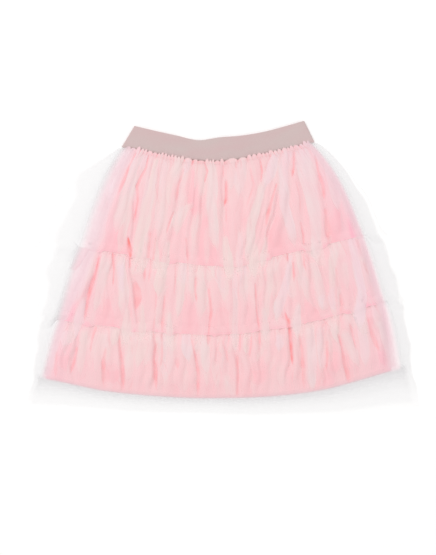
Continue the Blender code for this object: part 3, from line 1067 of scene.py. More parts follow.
@dataclass(frozen=True)
class Thinning:
    """How a sheer ply runs out past the pink one at one side of the skirt, greyed there as a
    painted shadow.

    Attributes:
        soft: how far past the outline the pink still shows through it.
        hem_soft: the same on the tier with the hem.
        inner: how far in from the pink ply's edge it starts to thicken.
        far: its cover over most of its reach.
        near: what is added to that at the outline.
        fall: length over which that dies away.
        rim: share of its reach over which its outer edge dies away.
        grey_in: how far in from the outline its painted grey shadow starts.
        grey_over: length over which the painted shadow comes to full strength.
    """

    soft: float
    hem_soft: float
    inner: float
    far: float
    near: float
    fall: float
    rim: float
    grey_in: float
    grey_over: float

    def hide(self, cover: np.ndarray, room: np.ndarray, drawn_in: np.ndarray,
             hem: bool) -> tuple[np.ndarray, np.ndarray]:
        """Let the ply hide the pink one's side edge, and thin out past it.

        Args:
            cover: cover of the ply so far.
            room: distance in from the outline, below 0 past it.
            drawn_in: where the pink ply's edge lies.
            hem: whether the tier has the hem.

        Returns:
            The cover, and how much the ply takes the pink one's colour.
        """
        soft = self.hem_soft if hem else self.soft
        near = ease((drawn_in + self.inner - room) / self.inner)
        fall = ease((room + soft) / (drawn_in + soft))
        full = cover + (FULL_COVER - cover) * near
        return np.where(room > drawn_in, full, FULL_COVER * fall), near

    def past(self, edge: np.ndarray, reach: np.ndarray) -> np.ndarray:
        """Cover past the outline.

        Args:
            edge: shares of the reach, 0 at the outline and 1 at the rim.
            reach: how far the ply reaches.

        Returns:
            The cover at each point.
        """
        cover = self.far + self.near * np.exp(-edge * reach / self.fall)
        return cover * ease((1.0 - edge) / self.rim)

    def grey(self, room: np.ndarray) -> np.ndarray:
        """How strong the painted grey shadow on the ply is, at distances in from the outline."""
        return ease((self.grey_in - room) / self.grey_over)


@dataclass(frozen=True)
class HemThinning:
    """How the lowest sheer ply runs out past the hem of the pink one, greyed there as a painted
    shadow.

    Attributes:
        cover: its cover at the pink ply's edge.
        over: length over which that cover and the blush come in.
        blush: how much it takes the pink one's colour there.
        far: its cover up to its own edge.
        near: what is added to that at the pink ply's edge.
        power: how fast that dies away.
        rim: share of its reach over which its own edge dies away.
        grey_in: how far before the pink ply's edge its painted grey shadow starts.
        grey_over: length over which the painted shadow comes to full strength.
    """

    cover: float = 0.56
    over: float = 7.0
    blush: float = 0.7
    far: float = 0.12
    near: float = 0.5
    power: float = 2.2
    rim: float = 0.2
    grey_in: float = 3.0
    grey_over: float = 7.0


LEFT_THINNING = Thinning(
    soft=19.0, hem_soft=7.0, inner=8.0, far=0.19, near=0.2, fall=9.0, rim=0.35,
    grey_in=7.0, grey_over=13.0,
)
RIGHT_THINNING = Thinning(
    soft=3.0, hem_soft=3.0, inner=12.0, far=0.25, near=0.14, fall=5.0, rim=0.2,
    grey_in=5.0, grey_over=6.5,
)
HEM_THINNING = HemThinning()


@dataclass
class SheerGrid:
    """Front points of a sheer ply before it is raised, row by row.

    Attributes:
        sides: sides from -1 to 1.
        extras: how far past the outline, from -1 at the left rim to 1 at the right one.
        down: shares of the way down the tier.
        x: positions across the plan, before the ply spreads past the outline.
        y: heights on the plan.
        over: where each column starts, as a share of the way down.
        end: where each column ends.
        head: how far the gathers stand up past the stitched edge.
        reach: how far the ply spreads past the outline.
        across: shares of the way across the pink ply.
        begun: where the pink ply starts under each point, as a share of the way down.
        ended: where it ends.
    """

    sides: np.ndarray
    extras: np.ndarray
    down: np.ndarray
    x: np.ndarray
    y: np.ndarray
    over: np.ndarray
    end: np.ndarray
    head: np.ndarray
    reach: np.ndarray
    across: np.ndarray
    begun: np.ndarray
    ended: np.ndarray


class ClothMesh:
    """Turns a grid of points into a mesh with its own map and attributes."""

    @staticmethod
    def build(name: str, points: np.ndarray, chart: np.ndarray,
              values: dict[str, np.ndarray], material: bpy.types.Material) -> bpy.types.Object:
        """Make one object from rings of points, one under the other.

        Args:
            name: the object's name.
            points: rows by columns by 3, in millimetres on the plan.
            chart: rows by columns by 2, the map in metres.
            values: attribute name to rows by columns of numbers.
            material: what the mesh is made of.

        Returns:
            The new object.
        """
        rows, columns = points.shape[:2]
        placed = points.reshape(-1, 3) * MM
        placed[:, 1] += PLAN_SHIFT * MM
        row, column = np.meshgrid(np.arange(rows - 1), np.arange(columns), indexing="ij")
        after = (column + 1) % columns
        faces = np.stack(
            [
                row * columns + column,
                (row + 1) * columns + column,
                (row + 1) * columns + after,
                row * columns + after,
            ],
            axis=-1,
        ).reshape(-1, 4)
        mesh = bpy.data.meshes.new(name)
        mesh.from_pydata(placed.tolist(), [], faces.tolist())
        flat = chart.reshape(-1, 2)
        layer = mesh.uv_layers.new(name="cloth")
        corner = np.empty(len(mesh.loops), np.int32)
        mesh.loops.foreach_get("vertex_index", corner)
        layer.data.foreach_set("uv", flat[corner].astype(np.float32).ravel())
        for key, value in values.items():
            made = mesh.attributes.new(key, "FLOAT", "POINT")
            made.data.foreach_set("value", value.astype(np.float32).ravel())
        mesh.polygons.foreach_set("use_smooth", np.ones(len(faces), bool))
        ends = np.empty(2 * len(mesh.edges), np.int32)
        mesh.edges.foreach_get("vertices", ends)
        rim = ends.reshape(-1, 2) // columns
        rim = (rim[:, 0] == rim[:, 1]) & np.isin(rim[:, 0], (0, rows - 1))
        mesh.attributes.new("sharp_edge", "BOOLEAN", "EDGE").data.foreach_set("value", rim)
        mesh.materials.append(material)
        mesh.update()
        piece = bpy.data.objects.new(name, mesh)
        bpy.context.scene.collection.objects.link(piece)
        return piece

    @staticmethod
    def wall(piece: bpy.types.Object, thickness: float, offset: float) -> None:
        """Give a sheet its thickness.

        Args:
            piece: the sheet.
            thickness: its thickness in millimetres.
            offset: which way it thickens, from -1 to 1.
        """
        solid = piece.modifiers.new("Wall", "SOLIDIFY")
        solid.thickness = thickness * MM
        solid.offset = offset


@dataclass
class Tier:
    """One gathered tier: its pink ply and the sheer ply over it."""

    plan: TierPlan
    below: "Tier | None" = None
    front_columns: int = 500
    back_columns: int = 36
    side_columns: int = 14
    wall: float = 0.4
    back_z: float = 0.7
    rest_z: float = 1.8
    over_seam: float = 4.5
    pink_gap: float = 0.5
    sheer_gap: float = 0.8
    least_gap: float = 0.25
    veil_z: float = 0.9
    veil_back_z: float = 0.12
    veil_over: float = 0.10
    veil_under: float = 0.12
    drawn_up: tuple[tuple[float, ...], tuple[float, ...]] = (
        (-272.0, -183.0, -108.0, 0.0, 160.0, 222.0, 272.0),
        (3.0, 1.0, 3.5, 6.5, 6.5, 8.0, 9.0),
    )
    puckers: int = 74
    small_folds: int = 52
    small_creases: int = 60
    rng: np.random.Generator = field(init=False)

    def __post_init__(self) -> None:
        """Fix the tier's own run of random numbers, and draw its small marks."""
        self.rng = np.random.default_rng(self.plan.seed)
        self.hem = self.plan.lower is HEM
        self.waves = self._waves()
        self.folds = self.plan.folds + self._small_folds()
        self.creases = self.plan.creases + self._small_creases()

    def _waves(self) -> list[tuple[float, ...]]:
        """Divide the tier into gathers.

        Returns:
            For each gather the sides of its left end at top and bottom, the same of its
            right end, its crest's lift at top and bottom, and the lift left in the
            troughs before and after it, each at top and bottom.
        """
        plan = self.plan
        salt = len(plan.troughs)
        marks = [(-1.0, -1.0, 1.0, 1.0, plan.first_waves)]
        for trough in plan.troughs:
            top = plan.upper.side_of(trough.x_top)
            low = plan.lower.side_of(trough.x_low)
            marks.append((top, low, trough.depth_top, trough.depth_low, trough.waves_after))
        marks.append((1.0, 1.0, 1.0, 1.0, 0))
        waves = []
        for start, end in zip(marks, marks[1:]):
            count = start[4]
            for part in range(count):
                wave = len(waves)
                crest = (0.66 + 0.34 * vary(wave, salt), 0.66 + 0.34 * vary(wave + 50, salt))
                before = 0.5 * (0.7 + 0.6 * vary(wave, 3))
                after = 0.5 * (0.7 + 0.6 * vary(wave + 1, 3))
                opens = (1.0 - start[2], 1.0 - start[3]) if part == 0 else (before, before)
                closes = (1.0 - end[2], 1.0 - end[3]) if part == count - 1 else (after, after)
                ends = []
                for step in (part, part + 1):
                    jitter = 0.45 * (vary(wave - part + step, 17) - 0.5) * (0 < step < count)
                    share = (step + jitter) / count
                    ends.append(start[0] + (end[0] - start[0]) * share)
                    ends.append(start[1] + (end[1] - start[1]) * share)
                waves.append((*ends, *crest, *opens, *closes))
        return waves

    def side_at(self, place: float, down: float) -> float:
        """Side of a place among the gathers.

        Args:
            place: share of the way across, counted in gathers.
            down: share of the way down.

        Returns:
            The side.
        """
        wave = min(int(place * len(self.waves)), len(self.waves) - 1)
        top_a, low_a, top_b, low_b = self.waves[wave][:4]
        part = place * len(self.waves) - wave
        top = top_a + (top_b - top_a) * part
        low = low_a + (low_b - low_a) * part
        return top + (low - top) * min(1.0, max(0.0, down))

    def place_on(self, side: float, down: float) -> tuple[float, float]:
        """Point on the plan.

        Args:
            side: its side.
            down: its share of the way down.

        Returns:
            Its position across and its height.
        """
        plan = self.plan
        x, y = in_plan(plan.upper, plan.lower, np.array([side]), np.array([down]), plan.bulges)
        return float(x[0]), float(y[0])

    def _small_mark(self, place: float, start: float, length: float, width: float,
                    strength: float) -> Mark:
        """Draw a mark that follows the gathers, thinning at both ends.

        Args:
            place: where it starts, as a share of the way across in gathers.
            start: where it starts, as a share of the way down.
            length: its length, as a share of the tier's depth.
            width: its greatest width.
            strength: how strong it is.

        Returns:
            The mark.
        """
        path = []
        bow = self.rng.normal(0.0, 0.012)
        slant = self.rng.normal(0.0, 0.035)
        for share, wide in ((0.0, 0.5), (0.35, 1.0), (0.7, 0.9), (1.0, 0.2)):
            down = start + length * share
            side = self.side_at(place, down) + bow * math.sin(math.pi * share) + slant * share
            side = min(0.995, max(-0.995, side))
            path.append((*self.place_on(side, down), width * wide))
        lilac = float(np.clip(self.rng.normal(0.25, 0.3), 0.0, 1.0))
        return Mark(strength, lilac, tuple(path))

    def _small_folds(self) -> tuple[Mark, ...]:
        """Draw the lesser folds between those given.

        Returns:
            The folds.
        """
        made = []
        for _ in range(self.small_folds):
            start = self.rng.choice([-0.02, self.rng.uniform(0.0, 0.75)])
            length = min(self.rng.uniform(0.2, 0.7), 1.02 - start)
            width = self.rng.uniform(4.0, 16.0)
            strength = self.rng.uniform(0.12, 0.5)
            place = self.rng.uniform(0.01, 0.99)
            made.append(self._small_mark(place, start, length, width, strength))
        return tuple(made)

    def _small_creases(self) -> tuple[Mark, ...]:
        """Draw the lesser creases.

        Returns:
            The creases: most spring from the gathered edge, and a few lie lower.
        """
        made = []
        for index in range(self.small_creases):
            if index % 3:
                start, length = -0.02, self.rng.uniform(8.0, 26.0) / self.plan.length
                strength = self.rng.uniform(0.25, 0.6)
            else:
                start = self.rng.uniform(0.1, 0.8)
                length = min(self.rng.uniform(0.1, 0.4), 0.98 - start)
                strength = self.rng.uniform(0.15, 0.4)
            place = self.rng.uniform(0.02, 0.98)
            width = self.rng.uniform(1.2, 3.2)
            made.append(self._small_mark(place, start, length, width, strength))
        return tuple(made)

    def lift_at(self, down: float) -> float:
        """Lift of the highest crest.

        Args:
            down: share of the way down.

        Returns:
            The lift in millimetres.
        """
        for start, end in zip(self.plan.lifts, self.plan.lifts[1:]):
            if down <= end[0]:
                share = max(0.0, (down - start[0]) / (end[0] - start[0]))
                return start[1] + (end[1] - start[1]) * float(ease(np.array(share)))
        return self.plan.lifts[-1][1]

    def relief(self, side: np.ndarray, down: float) -> np.ndarray:
        """Height of the pink ply over the back ply, along one row.

        Args:
            side: sides of the row's columns.
            down: share of the way down the tier.

        Returns:
            One height for each side.
        """
        limit = self.lift_at(down)
        if self.hem:
            limit *= 1.0 - 0.7 * float(ease(np.array((down - 0.7) / 0.3)))
        uneven = np.sin(7.0 * down + 11.0 * side + self.plan.seed)
        limit = limit * (0.85 + 0.15 * (uneven * np.sin(4.0 * down - 17.0 * side)))
        near_upper, near_lower = 1.0 - down / 0.25, 1.0 - (1.0 - down) / 0.25
        for arc, near in ((self.plan.upper, near_upper), (self.plan.lower, near_lower)):
            hidden = (1.0 - arc.shown(arc.x_at(side))) * ease(np.array(near))
            limit = limit + (self.over_seam - limit) * hidden
        height = np.zeros_like(side)
        share = min(1.0, max(0.0, down))
        wander = 0.012 * np.sin(5.0 * down + 9.0 * side)
        wander = wander + 0.006 * np.sin(13.0 * down - 21.0 * side)
        swayed = np.clip(side + wander * min(1.0, max(0.0, down * 4.0)), -1.0, 1.0)
        for top_a, low_a, top_b, low_b, crest_top, crest_low, *rest in self.waves:
            start = top_a + (low_a - top_a) * share
            end = top_b + (low_b - top_b) * share
            inside = (swayed >= start) & (swayed <= end)
            if not inside.any():
                continue
            t = (swayed[inside] - start) / (end - start)
            crest = crest_top + (crest_low - crest_top) * share
            left = rest[0] + (rest[1] - rest[0]) * share
            right = rest[2] + (rest[3] - rest[2]) * share
            floor = left + (right - left) * ease(t)
            shape = np.sin(np.pi * t) ** 1.5
            height[inside] = limit[inside] * (floor + (crest - floor) * shape)
        pucker = np.abs(np.sin(np.pi * self.puckers * side / 2.0 + 0.7 * np.sin(9.0 * side)))
        near = math.exp(-max(0.0, down) / 0.09) * self.plan.upper.shown(self.plan.upper.x_at(side))
        height += 0.8 * near * pucker**0.7
        across = np.linspace(-1.0, 1.0, len(side))
        return height * ease((1.0 - np.abs(across)) / 0.05)

    def heads(self, side: np.ndarray) -> np.ndarray:
        """How far the gathers stand up past the stitched edge.

        Args:
            side: sides of the columns.

        Returns:
            One height for each side, in millimetres.
        """
        head = np.zeros_like(side)
        for index, (top_a, _, top_b, _, *_rest) in enumerate(self.waves):
            inside = (side >= top_a) & (side <= top_b)
            if not inside.any():
                continue
            t = (side[inside] - top_a) / (top_b - top_a)
            wide = (top_b - top_a) * self.plan.upper.half()
            if self.plan.upper.on_band:
                parts = 1 + int(wide > 8.5) * int(vary(index, 8) > 0.35) + int(wide > 13.0)
                t = t ** (0.75 + 0.6 * vary(index, 9))
                tall = np.array([0.3 + 0.7 * vary(3 * index + part, 4) for part in range(parts)])
                tall = tall[np.minimum((t * parts).astype(int), parts - 1)]
                shape = 0.6
            else:
                parts = 1 + int(vary(index, 8) * 1.5) * int(wide > 11.0)
                tall = 0.55 + 0.45 * vary(index, 4)
                shape = 0.4
            head[inside] = tall * np.abs(np.sin(np.pi * (t * parts % 1.0))) ** shape
        shown = self.plan.upper.shown(self.plan.upper.x_at(side))
        return head * self.plan.head * shown

    def notch_shade(self, head: np.ndarray, down: np.ndarray) -> np.ndarray:
        """Painted shadow between the heads on the band, where the gathers dip under its edge.

        Args:
            head: height of the heads at each column.
            down: shares of the way down, row by row.

        Returns:
            The strength of the painted shadow at each point.
        """
        if not self.plan.upper.on_band:
            return np.zeros_like(down)
        low = np.clip(1.0 - head / (0.5 * self.plan.head), 0.0, 1.0)
        return 0.9 * low[None, :] * (1.0 - ease(np.abs(down * self.plan.length) / 6.0))

    def _sway(self, x: np.ndarray, y: np.ndarray) -> np.ndarray:
        """Small wander that keeps the marks' edges from running straight.

        Args:
            x: positions across the plan.
            y: heights on the plan.

        Returns:
            The shift of each point, in millimetres.
        """
        turn = self.plan.seed
        return (
            0.6 * np.sin(y / 9.1 + x / 17.0 + turn)
            + 0.2 * np.sin(y / 4.3 - x / 6.0 + 2.0 * turn)
            + 0.3 * np.sin(x / 3.7 + y / 31.0)
        )

    def _drawn_in(self, down: np.ndarray) -> tuple[np.ndarray, np.ndarray, np.ndarray]:
        """How far the pink ply stays inside the outline.

        Args:
            down: shares of the way down.

        Returns:
            The distance at the left, that at the right, and half of the tier's width.
        """
        share = np.clip(down, 0.0, 1.0)
        (left_a, left_b), (right_a, right_b) = self.plan.fade
        half = self.plan.upper.half() + (self.plan.lower.half() - self.plan.upper.half()) * share
        return left_a + (left_b - left_a) * share, right_a + (right_b - right_a) * share, half

    def _across(self, side: np.ndarray, down: np.ndarray) -> np.ndarray:
        """Share of the way across the pink ply.

        Args:
            side: sides of the points.
            down: their shares of the way down.

        Returns:
            The shares, from 0 to 1.
        """
        left, right, half = self._drawn_in(down)
        start, end = -1.0 + left / half, 1.0 - right / half
        return np.clip((side - start) / (end - start), 0.0, 1.0)

    def draped(self, z: np.ndarray, x: np.ndarray, y: np.ndarray, left_over: np.ndarray,
               gap: float) -> np.ndarray:
        """Heights of a ply that comes to lie on the tier below at its low edge.

        Args:
            z: heights of the ply by itself.
            x: positions across the plan.
            y: heights on the plan.
            left_over: how much of the ply is left below each point, in millimetres.
            gap: how far over the tier below the ply lies.

        Returns:
            The heights.
        """
        rest = self.below.top_at(x, y) + gap * ease(left_over / 4.0)
        near = ease(1.0 - left_over / 8.0)
        return np.where(left_over < 12.0, np.maximum(z + (rest - z) * near, rest), z)

    def low_edge(self, x: np.ndarray) -> np.ndarray:
        """Share of the way down at which the pink ply ends: a little past a hidden seam.

        Args:
            x: positions across the low edge.

        Returns:
            One share for each position.
        """
        if self.hem:
            return 1.0 - np.interp(x, *self.drawn_up) / self.plan.length
        hidden = 1.0 - self.plan.lower.shown(x)
        ragged = 3.2 + 1.6 * np.sin(x / 9.0 + self.plan.seed) + 0.8 * np.sin(x / 3.3)
        return 1.0 + hidden * ragged / self.plan.length

    def build_pink(self, material: bpy.types.Material) -> bpy.types.Object:
        """Make the pink ply as a tube: gathers in front, plain behind.

        Args:
            material: what it is made of.

        Returns:
            The ply.
        """
        plan = self.plan
        steps = np.linspace(0.0, 1.0, plan.rows)[:, None]
        left, right, half = self._drawn_in(steps)
        start, end = -1.0 + left / half, 1.0 - right / half
        across = np.linspace(0.0, 1.0, self.front_columns)[None, :]
        sides = start + (end - start) * across
        head = self.heads(sides[0])
        over = -head[None, :] / plan.length
        self.low = self.low_edge(plan.lower.x_at(sides[-1]))
        down = over + (self.low[None, :] - over) * steps
        x, y = in_plan(plan.upper, plan.lower, sides, down, plan.bulges)
        fold, crease, patch = self._layers(x, y)
        height = np.array(
            [self.relief(row, float(step)) for row, step in zip(sides, steps[:, 0])]
        )
        rise = height - 1.3 * np.minimum(crease.share, 1.2) + 0.5 * fold.ridge
        rise = np.clip(rise, 0.0, None)
        z = self.rest_z + rise * ease(np.minimum(across, 1.0 - across) / 0.006)
        if plan.upper.on_band:
            z = z + 2.9 * np.exp(-np.clip(down, 0.0, None) / 0.05)
        left_over = (self.low[None, :] - down) * plan.length
        if self.below is not None:
            z = self.draped(z, x, y, left_over, self.pink_gap)
        elif self.hem:
            z = z + (1.5 - z) * ease(1.0 - left_over / 5.0)
        self.front = np.stack([x, y, z], axis=-1)
        self.over = over[0]
        room = np.minimum((sides + 1.0), (1.0 - sides)) * half
        lilac = 0.6 * np.exp(-room / 30.0) + 0.55 * patch.share * patch.lilac
        lilac = np.clip(lilac + 0.5 * np.minimum(crease.share, 1.0) * crease.lilac, 0.0, 1.0)
        # Painted shade in the creases and between the heads on the band, over the denser colour of
        # creases and bare patches
        depth_and_shade = 1.15 * crease.share + 0.25 * patch.share + self.notch_shade(head, down)
        depth_and_shade = np.clip(depth_and_shade, 0.0, 1.6)
        backs = start + (end - start) * np.linspace(1.0, 0.0, self.back_columns)[None, :]
        back_down = steps * np.minimum(self.low_edge(plan.lower.x_at(backs)), 1.0)
        bx, by = in_plan(plan.upper, plan.lower, backs, back_down, plan.bulges)
        behind = np.stack([bx, by, np.full_like(bx, self.back_z)], axis=-1)
        width = plan.lower.half() * MM
        chart = np.concatenate(
            [
                np.stack([sides * width, down * plan.length * MM], axis=-1),
                np.stack([(2.0 - backs) * width, back_down * plan.length * MM], axis=-1),
            ],
            axis=1,
        )
        plain = np.zeros_like(back_down)
        piece = ClothMesh.build(
            f"{plan.node}_pink_ply",
            np.concatenate([self.front, behind], axis=1),
            chart,
            {
                "depth_and_shade": np.concatenate([depth_and_shade, plain], axis=1),
                "lilac": np.concatenate([lilac, plain], axis=1),
            },
            material,
        )
        ClothMesh.wall(piece, self.wall, -1.0)
        return piece

    def _layers(self, x: np.ndarray, y: np.ndarray) -> tuple[Layer, Layer, Layer]:
        """Draw the tier's marks on points of the plan.

        Args:
            x: positions across.
            y: heights on the plan.

        Returns:
            The folds, the creases and the bare patches.
        """
        sway = self._sway(x, y)
        fold = Layer.of(self.folds, x + sway, y, (1.0, 4.5), layered=True)
        crease = Layer.of(self.creases, x + 0.3 * sway, y, (1.6, 4.5), 0.75)
        patch = Layer.of(self.plan.patches, x + sway, y + sway, (4.0, 14.0))
        uneven = 0.78 + 0.22 * np.sin(y / 4.7 + x / 11.0) * np.sin(y / 13.0 - x / 29.0 + 1.0)
        crease.share = crease.share * uneven
        return fold, crease, patch

    def top_at(self, x: np.ndarray, y: np.ndarray) -> np.ndarray:
        """Highest that this tier's cloth lies under points of the plan.

        Args:
            x: positions across.
            y: heights on the plan.

        Returns:
            Heights over the floor, which above the tier go on as at its top edge.
        """
        plan = self.plan
        down = np.zeros_like(x)
        side = np.zeros_like(x)
        for _ in range(6):
            left = plan.upper.left + (plan.lower.left - plan.upper.left) * down
            right = plan.upper.right + (plan.lower.right - plan.upper.right) * down
            side = np.clip((x - left) / (right - left) * 2.0 - 1.0, -1.0, 1.0)
            high, low = plan.upper.y_at(side), plan.lower.y_at(side)
            down = np.clip((high - y) / (high - low), -0.1, 1.0)
        columns = np.linspace(0.0, 1.0, self.front_columns)
        across = (side + 1.0) / 2.0
        begun = np.interp(across, columns, self.cover_rows[0])
        ended = np.interp(across, columns, self.cover_rows[1])
        return self._sample(self.cover_z, across, (down - begun) / (ended - begun))

    @staticmethod
    def _sample(grid: np.ndarray, across: np.ndarray, down: np.ndarray) -> np.ndarray:
        """Read a front grid between its points.

        Args:
            grid: the values.
            across: shares of the way across it.
            down: shares of the way down it.

        Returns:
            The value at each place.
        """
        rows, columns = grid.shape
        row = np.clip(down, 0.0, 1.0) * (rows - 1)
        column = np.clip(across, 0.0, 1.0) * (columns - 1)
        r = np.clip(row.astype(int), 0, rows - 2)
        c = np.clip(column.astype(int), 0, columns - 2)
        fr, fc = row - r, column - c
        return (
            grid[r, c] * (1 - fr) * (1 - fc)
            + grid[r, c + 1] * (1 - fr) * fc
            + grid[r + 1, c] * fr * (1 - fc)
            + grid[r + 1, c + 1] * fr * fc
        )

    @staticmethod
    def _envelope(height: np.ndarray) -> np.ndarray:
        """Surface that a loose ply takes on the pink one.

        Args:
            height: heights of the pink ply.

        Returns:
            Heights that span its narrow troughs.
        """
        spanned = height.copy()
        for shift in range(1, 4):
            spanned[:, shift:] = np.maximum(spanned[:, shift:], height[:, :-shift])
            spanned[:, :-shift] = np.maximum(spanned[:, :-shift], height[:, shift:])
        smooth = spanned.copy()
        for _ in range(5):
            smooth[:, 1:-1] = (smooth[:, :-2] + smooth[:, 1:-1] + smooth[:, 2:]) / 3.0
        return np.maximum(smooth, height)

    def _hang(self, x: np.ndarray) -> np.ndarray:
        """How far the sheer ply's low edge hangs past the seam or the hem.

        Args:
            x: positions across.

        Returns:
            One length for each position, in millimetres.
        """
        plan = self.plan
        if self.hem:
            return 20.5 + 22.0 * (x / 250.0) ** 2 + 0.8 * np.sin(x / 24.0)
        turn = float(plan.seed)
        hang = 1.5 + 1.5 * np.sin(x / 7.0) * np.sin(x / 3.1 + 1.0)
        swell = np.sin(x / 13.0 + turn) + 0.7 * np.sin(x / 5.7 + 2.0 * turn)
        swell = swell + 0.4 * np.sin(x / 2.9)
        inner = 1.0 - ease((np.abs(x) / plan.lower.half() - 0.76) / 0.12)
        hang = hang + 13.0 * ease((swell - 0.35) / 1.1) * inner
        for fold in plan.folds:
            last_x, last_y, width = fold.path[-1]
            seam = plan.lower.y_at(np.array([plan.lower.side_of(last_x)]))[0]
            past = seam - last_y + 3.0
            if past > 4.0:
                near = np.exp(-(((x - last_x) / (width / 2.0 + 2.0)) ** 4))
                hang = np.maximum(hang, past * near)
        return hang

    def _reach(self, down: np.ndarray, side: Side) -> np.ndarray:
        """How far the sheer ply spreads past the outline.

        Args:
            down: shares of the way down.
            side: the side at which it spreads.

        Returns:
            The reach in millimetres.
        """
        stations = self.plan.veil[side.value]
        place = np.linspace(0.0, 1.0, len(stations))
        reach = np.interp(np.clip(down, 0.0, 1.0), place, stations)
        phase = self.plan.seed + 2.0 * side.value
        return reach * (1.0 + 0.08 * np.sin(11.0 * down + phase) + 0.03 * np.sin(23.0 * down))

    def _sheer_grid(self, steps: np.ndarray) -> SheerGrid:
        """Lay out the front of the sheer ply.

        Args:
            steps: shares of each column's own length, one row each.

        Returns:
            The grid.
        """
        plan = self.plan
        wings = np.ones(self.side_columns)
        inner = np.linspace(-1.0, 1.0, self.front_columns)
        side = np.concatenate([-wings, inner, wings])
        out = (np.arange(self.side_columns) + 1.0) / self.side_columns
        extra = np.concatenate([-out[::-1], np.zeros(self.front_columns), out])
        head = self.heads(side) * (np.abs(extra) == 0.0)
        over = -(head + 0.9 * ease(head / 2.0)) / plan.length
        end = 1.0 + self._hang(plan.lower.x_at(side)) / plan.length
        beyond = ease(np.abs(extra) * 3.0)
        if not plan.upper.on_band:
            over = over - self.veil_over * beyond
        if not self.hem:
            end = end + self.veil_under * beyond
        down = over[None, :] + (end - over)[None, :] * steps
        sides = np.broadcast_to(side, down.shape)
        extras = np.broadcast_to(extra, down.shape)
        x, y = in_plan(plan.upper, plan.lower, sides, down, plan.bulges)
        reach = np.where(
            extras > 0.0, self._reach(down, Side.RIGHT), self._reach(down, Side.LEFT)
        )
        across = self._across(sides, down)
        columns = np.linspace(0.0, 1.0, self.front_columns)
        begun = np.interp(across, columns, self.over)
        ended = np.interp(across, columns, self.low)
        return SheerGrid(
            sides, extras, down, x, y, over, end, head, reach, across, begun, ended
        )

    def _sheer_height(self, grid: SheerGrid, fold: Layer, crease: Layer) -> np.ndarray:
        """Lay the sheer ply on the pink one, on the tier below and on the floor.

        Args:
            grid: the ply's points.
            fold: folds at each point.
            crease: creases at each point.

        Returns:
            The height of each point.
        """
        x, y, down = grid.x, grid.y, grid.down
        level = (down - grid.begun) / (grid.ended - grid.begun)
        base = self._sample(self._envelope(self.front[:, :, 2]), grid.across, level)
        pink = self._sample(self.front[:, :, 2], grid.across, level)
        z = base + 0.3 + 0.9 * fold.ridge - 0.8 * np.minimum(crease.share, 1.0)
        z = np.maximum(z, pink + self.least_gap)
        if self.below is not None:
            left_over = (grid.end[None, :] - down) * self.plan.length
            z = self.draped(z, x, y, left_over, self.sheer_gap)
            z = np.maximum(z, np.where(down > 0.96, self.below.top_at(x, y) + 0.4, 0.0))
            z = np.where(down < grid.ended, np.maximum(z, pink + self.least_gap), z)
        past = ease((down - grid.ended) / 0.08) if self.hem else np.zeros_like(down)
        z = z * (1.0 - past) + (self.veil_z + 0.35 * np.sin(x / 6.0)) * past
        edge = np.abs(grid.extras)
        flat = ease(edge * 2.2)
        return z * (1.0 - flat) + (self.veil_z - 0.5 * edge) * flat

    def _sheer_looks(self, grid: SheerGrid, fold: Layer, crease: Layer,
                     patch: Layer) -> dict[str, np.ndarray]:
        """Find how the sheer ply covers and colours what lies under it.

        Args:
            grid: the ply's points.
            fold: folds at each point.
            crease: creases at each point.
            patch: bare patches at each point.

        Returns:
            The front's cover, lilac, blush and veil, by name; the veil is its painted grey shadow.
        """
        sides, extras, down, reach = grid.sides, grid.extras, grid.down, grid.reach
        edge = np.abs(extras)
        left, right, half = self._drawn_in(down)
        room_left = (sides + 1.0) * half - np.where(extras < 0.0, edge * reach, 0.0)
        room_right = (1.0 - sides) * half - np.where(extras > 0.0, edge * reach, 0.0)
        cover = self._cover(sides, down, fold, crease, patch)
        # The sheer ply thins between the heads on the band, so that the painted shadow there shows
        cover = cover * (1.0 - 0.8 * self.notch_shade(grid.head, down))
        if not self.hem:
            loose = ease((grid.end[None, :] - down) * self.plan.length / 6.0)
            cover = cover * (loose + (1.0 - loose) * np.clip(fold.share, 0.0, 1.0))
        cover, blush_left = LEFT_THINNING.hide(cover, room_left, left, self.hem)
        cover, blush_right = RIGHT_THINNING.hide(cover, room_right, right, self.hem)
        thin_left = LEFT_THINNING.past(edge, reach)
        thin_right = RIGHT_THINNING.past(edge, reach)
        thin = np.where(extras > 0.0, thin_right, thin_left)
        at_right = (room_right < right) & (edge == 0.0)
        cover = np.where(at_right, np.maximum(cover, 0.4), cover)
        if not self.plan.upper.on_band:
            thin = thin * ease((down + self.veil_over) / 0.2)
        if not self.hem:
            thin = thin * ease((1.12 - down) / 0.2)
        spread = np.maximum(cover * ease((1.2 - down) / 0.2), thin)
        cover = np.where(edge > 0.0, spread, cover)
        past = blush_hem = np.zeros_like(down)
        if self.hem:
            cover, past, blush_hem = self._past_hem(grid, cover, thin)
        lilac = fold.share * fold.lilac
        lilac = lilac + 0.5 * np.exp(-np.minimum(room_left, room_right) / 25.0)
        blush = np.maximum(np.maximum(blush_left, blush_right), blush_hem)
        blush = np.clip(blush, 0.0, 1.0) * (1.0 - 0.6 * np.clip(fold.share, 0.0, 1.0))
        # Painted shadow: the ply turns grey past the sides
        grey = LEFT_THINNING.grey(room_left) + RIGHT_THINNING.grey(room_right)
        return {
            "cover": cover,
            "lilac": np.clip(lilac, 0.0, 1.0),
            "blush": blush,
            "veil": np.clip(grey + past, 0.0, 1.0),
        }

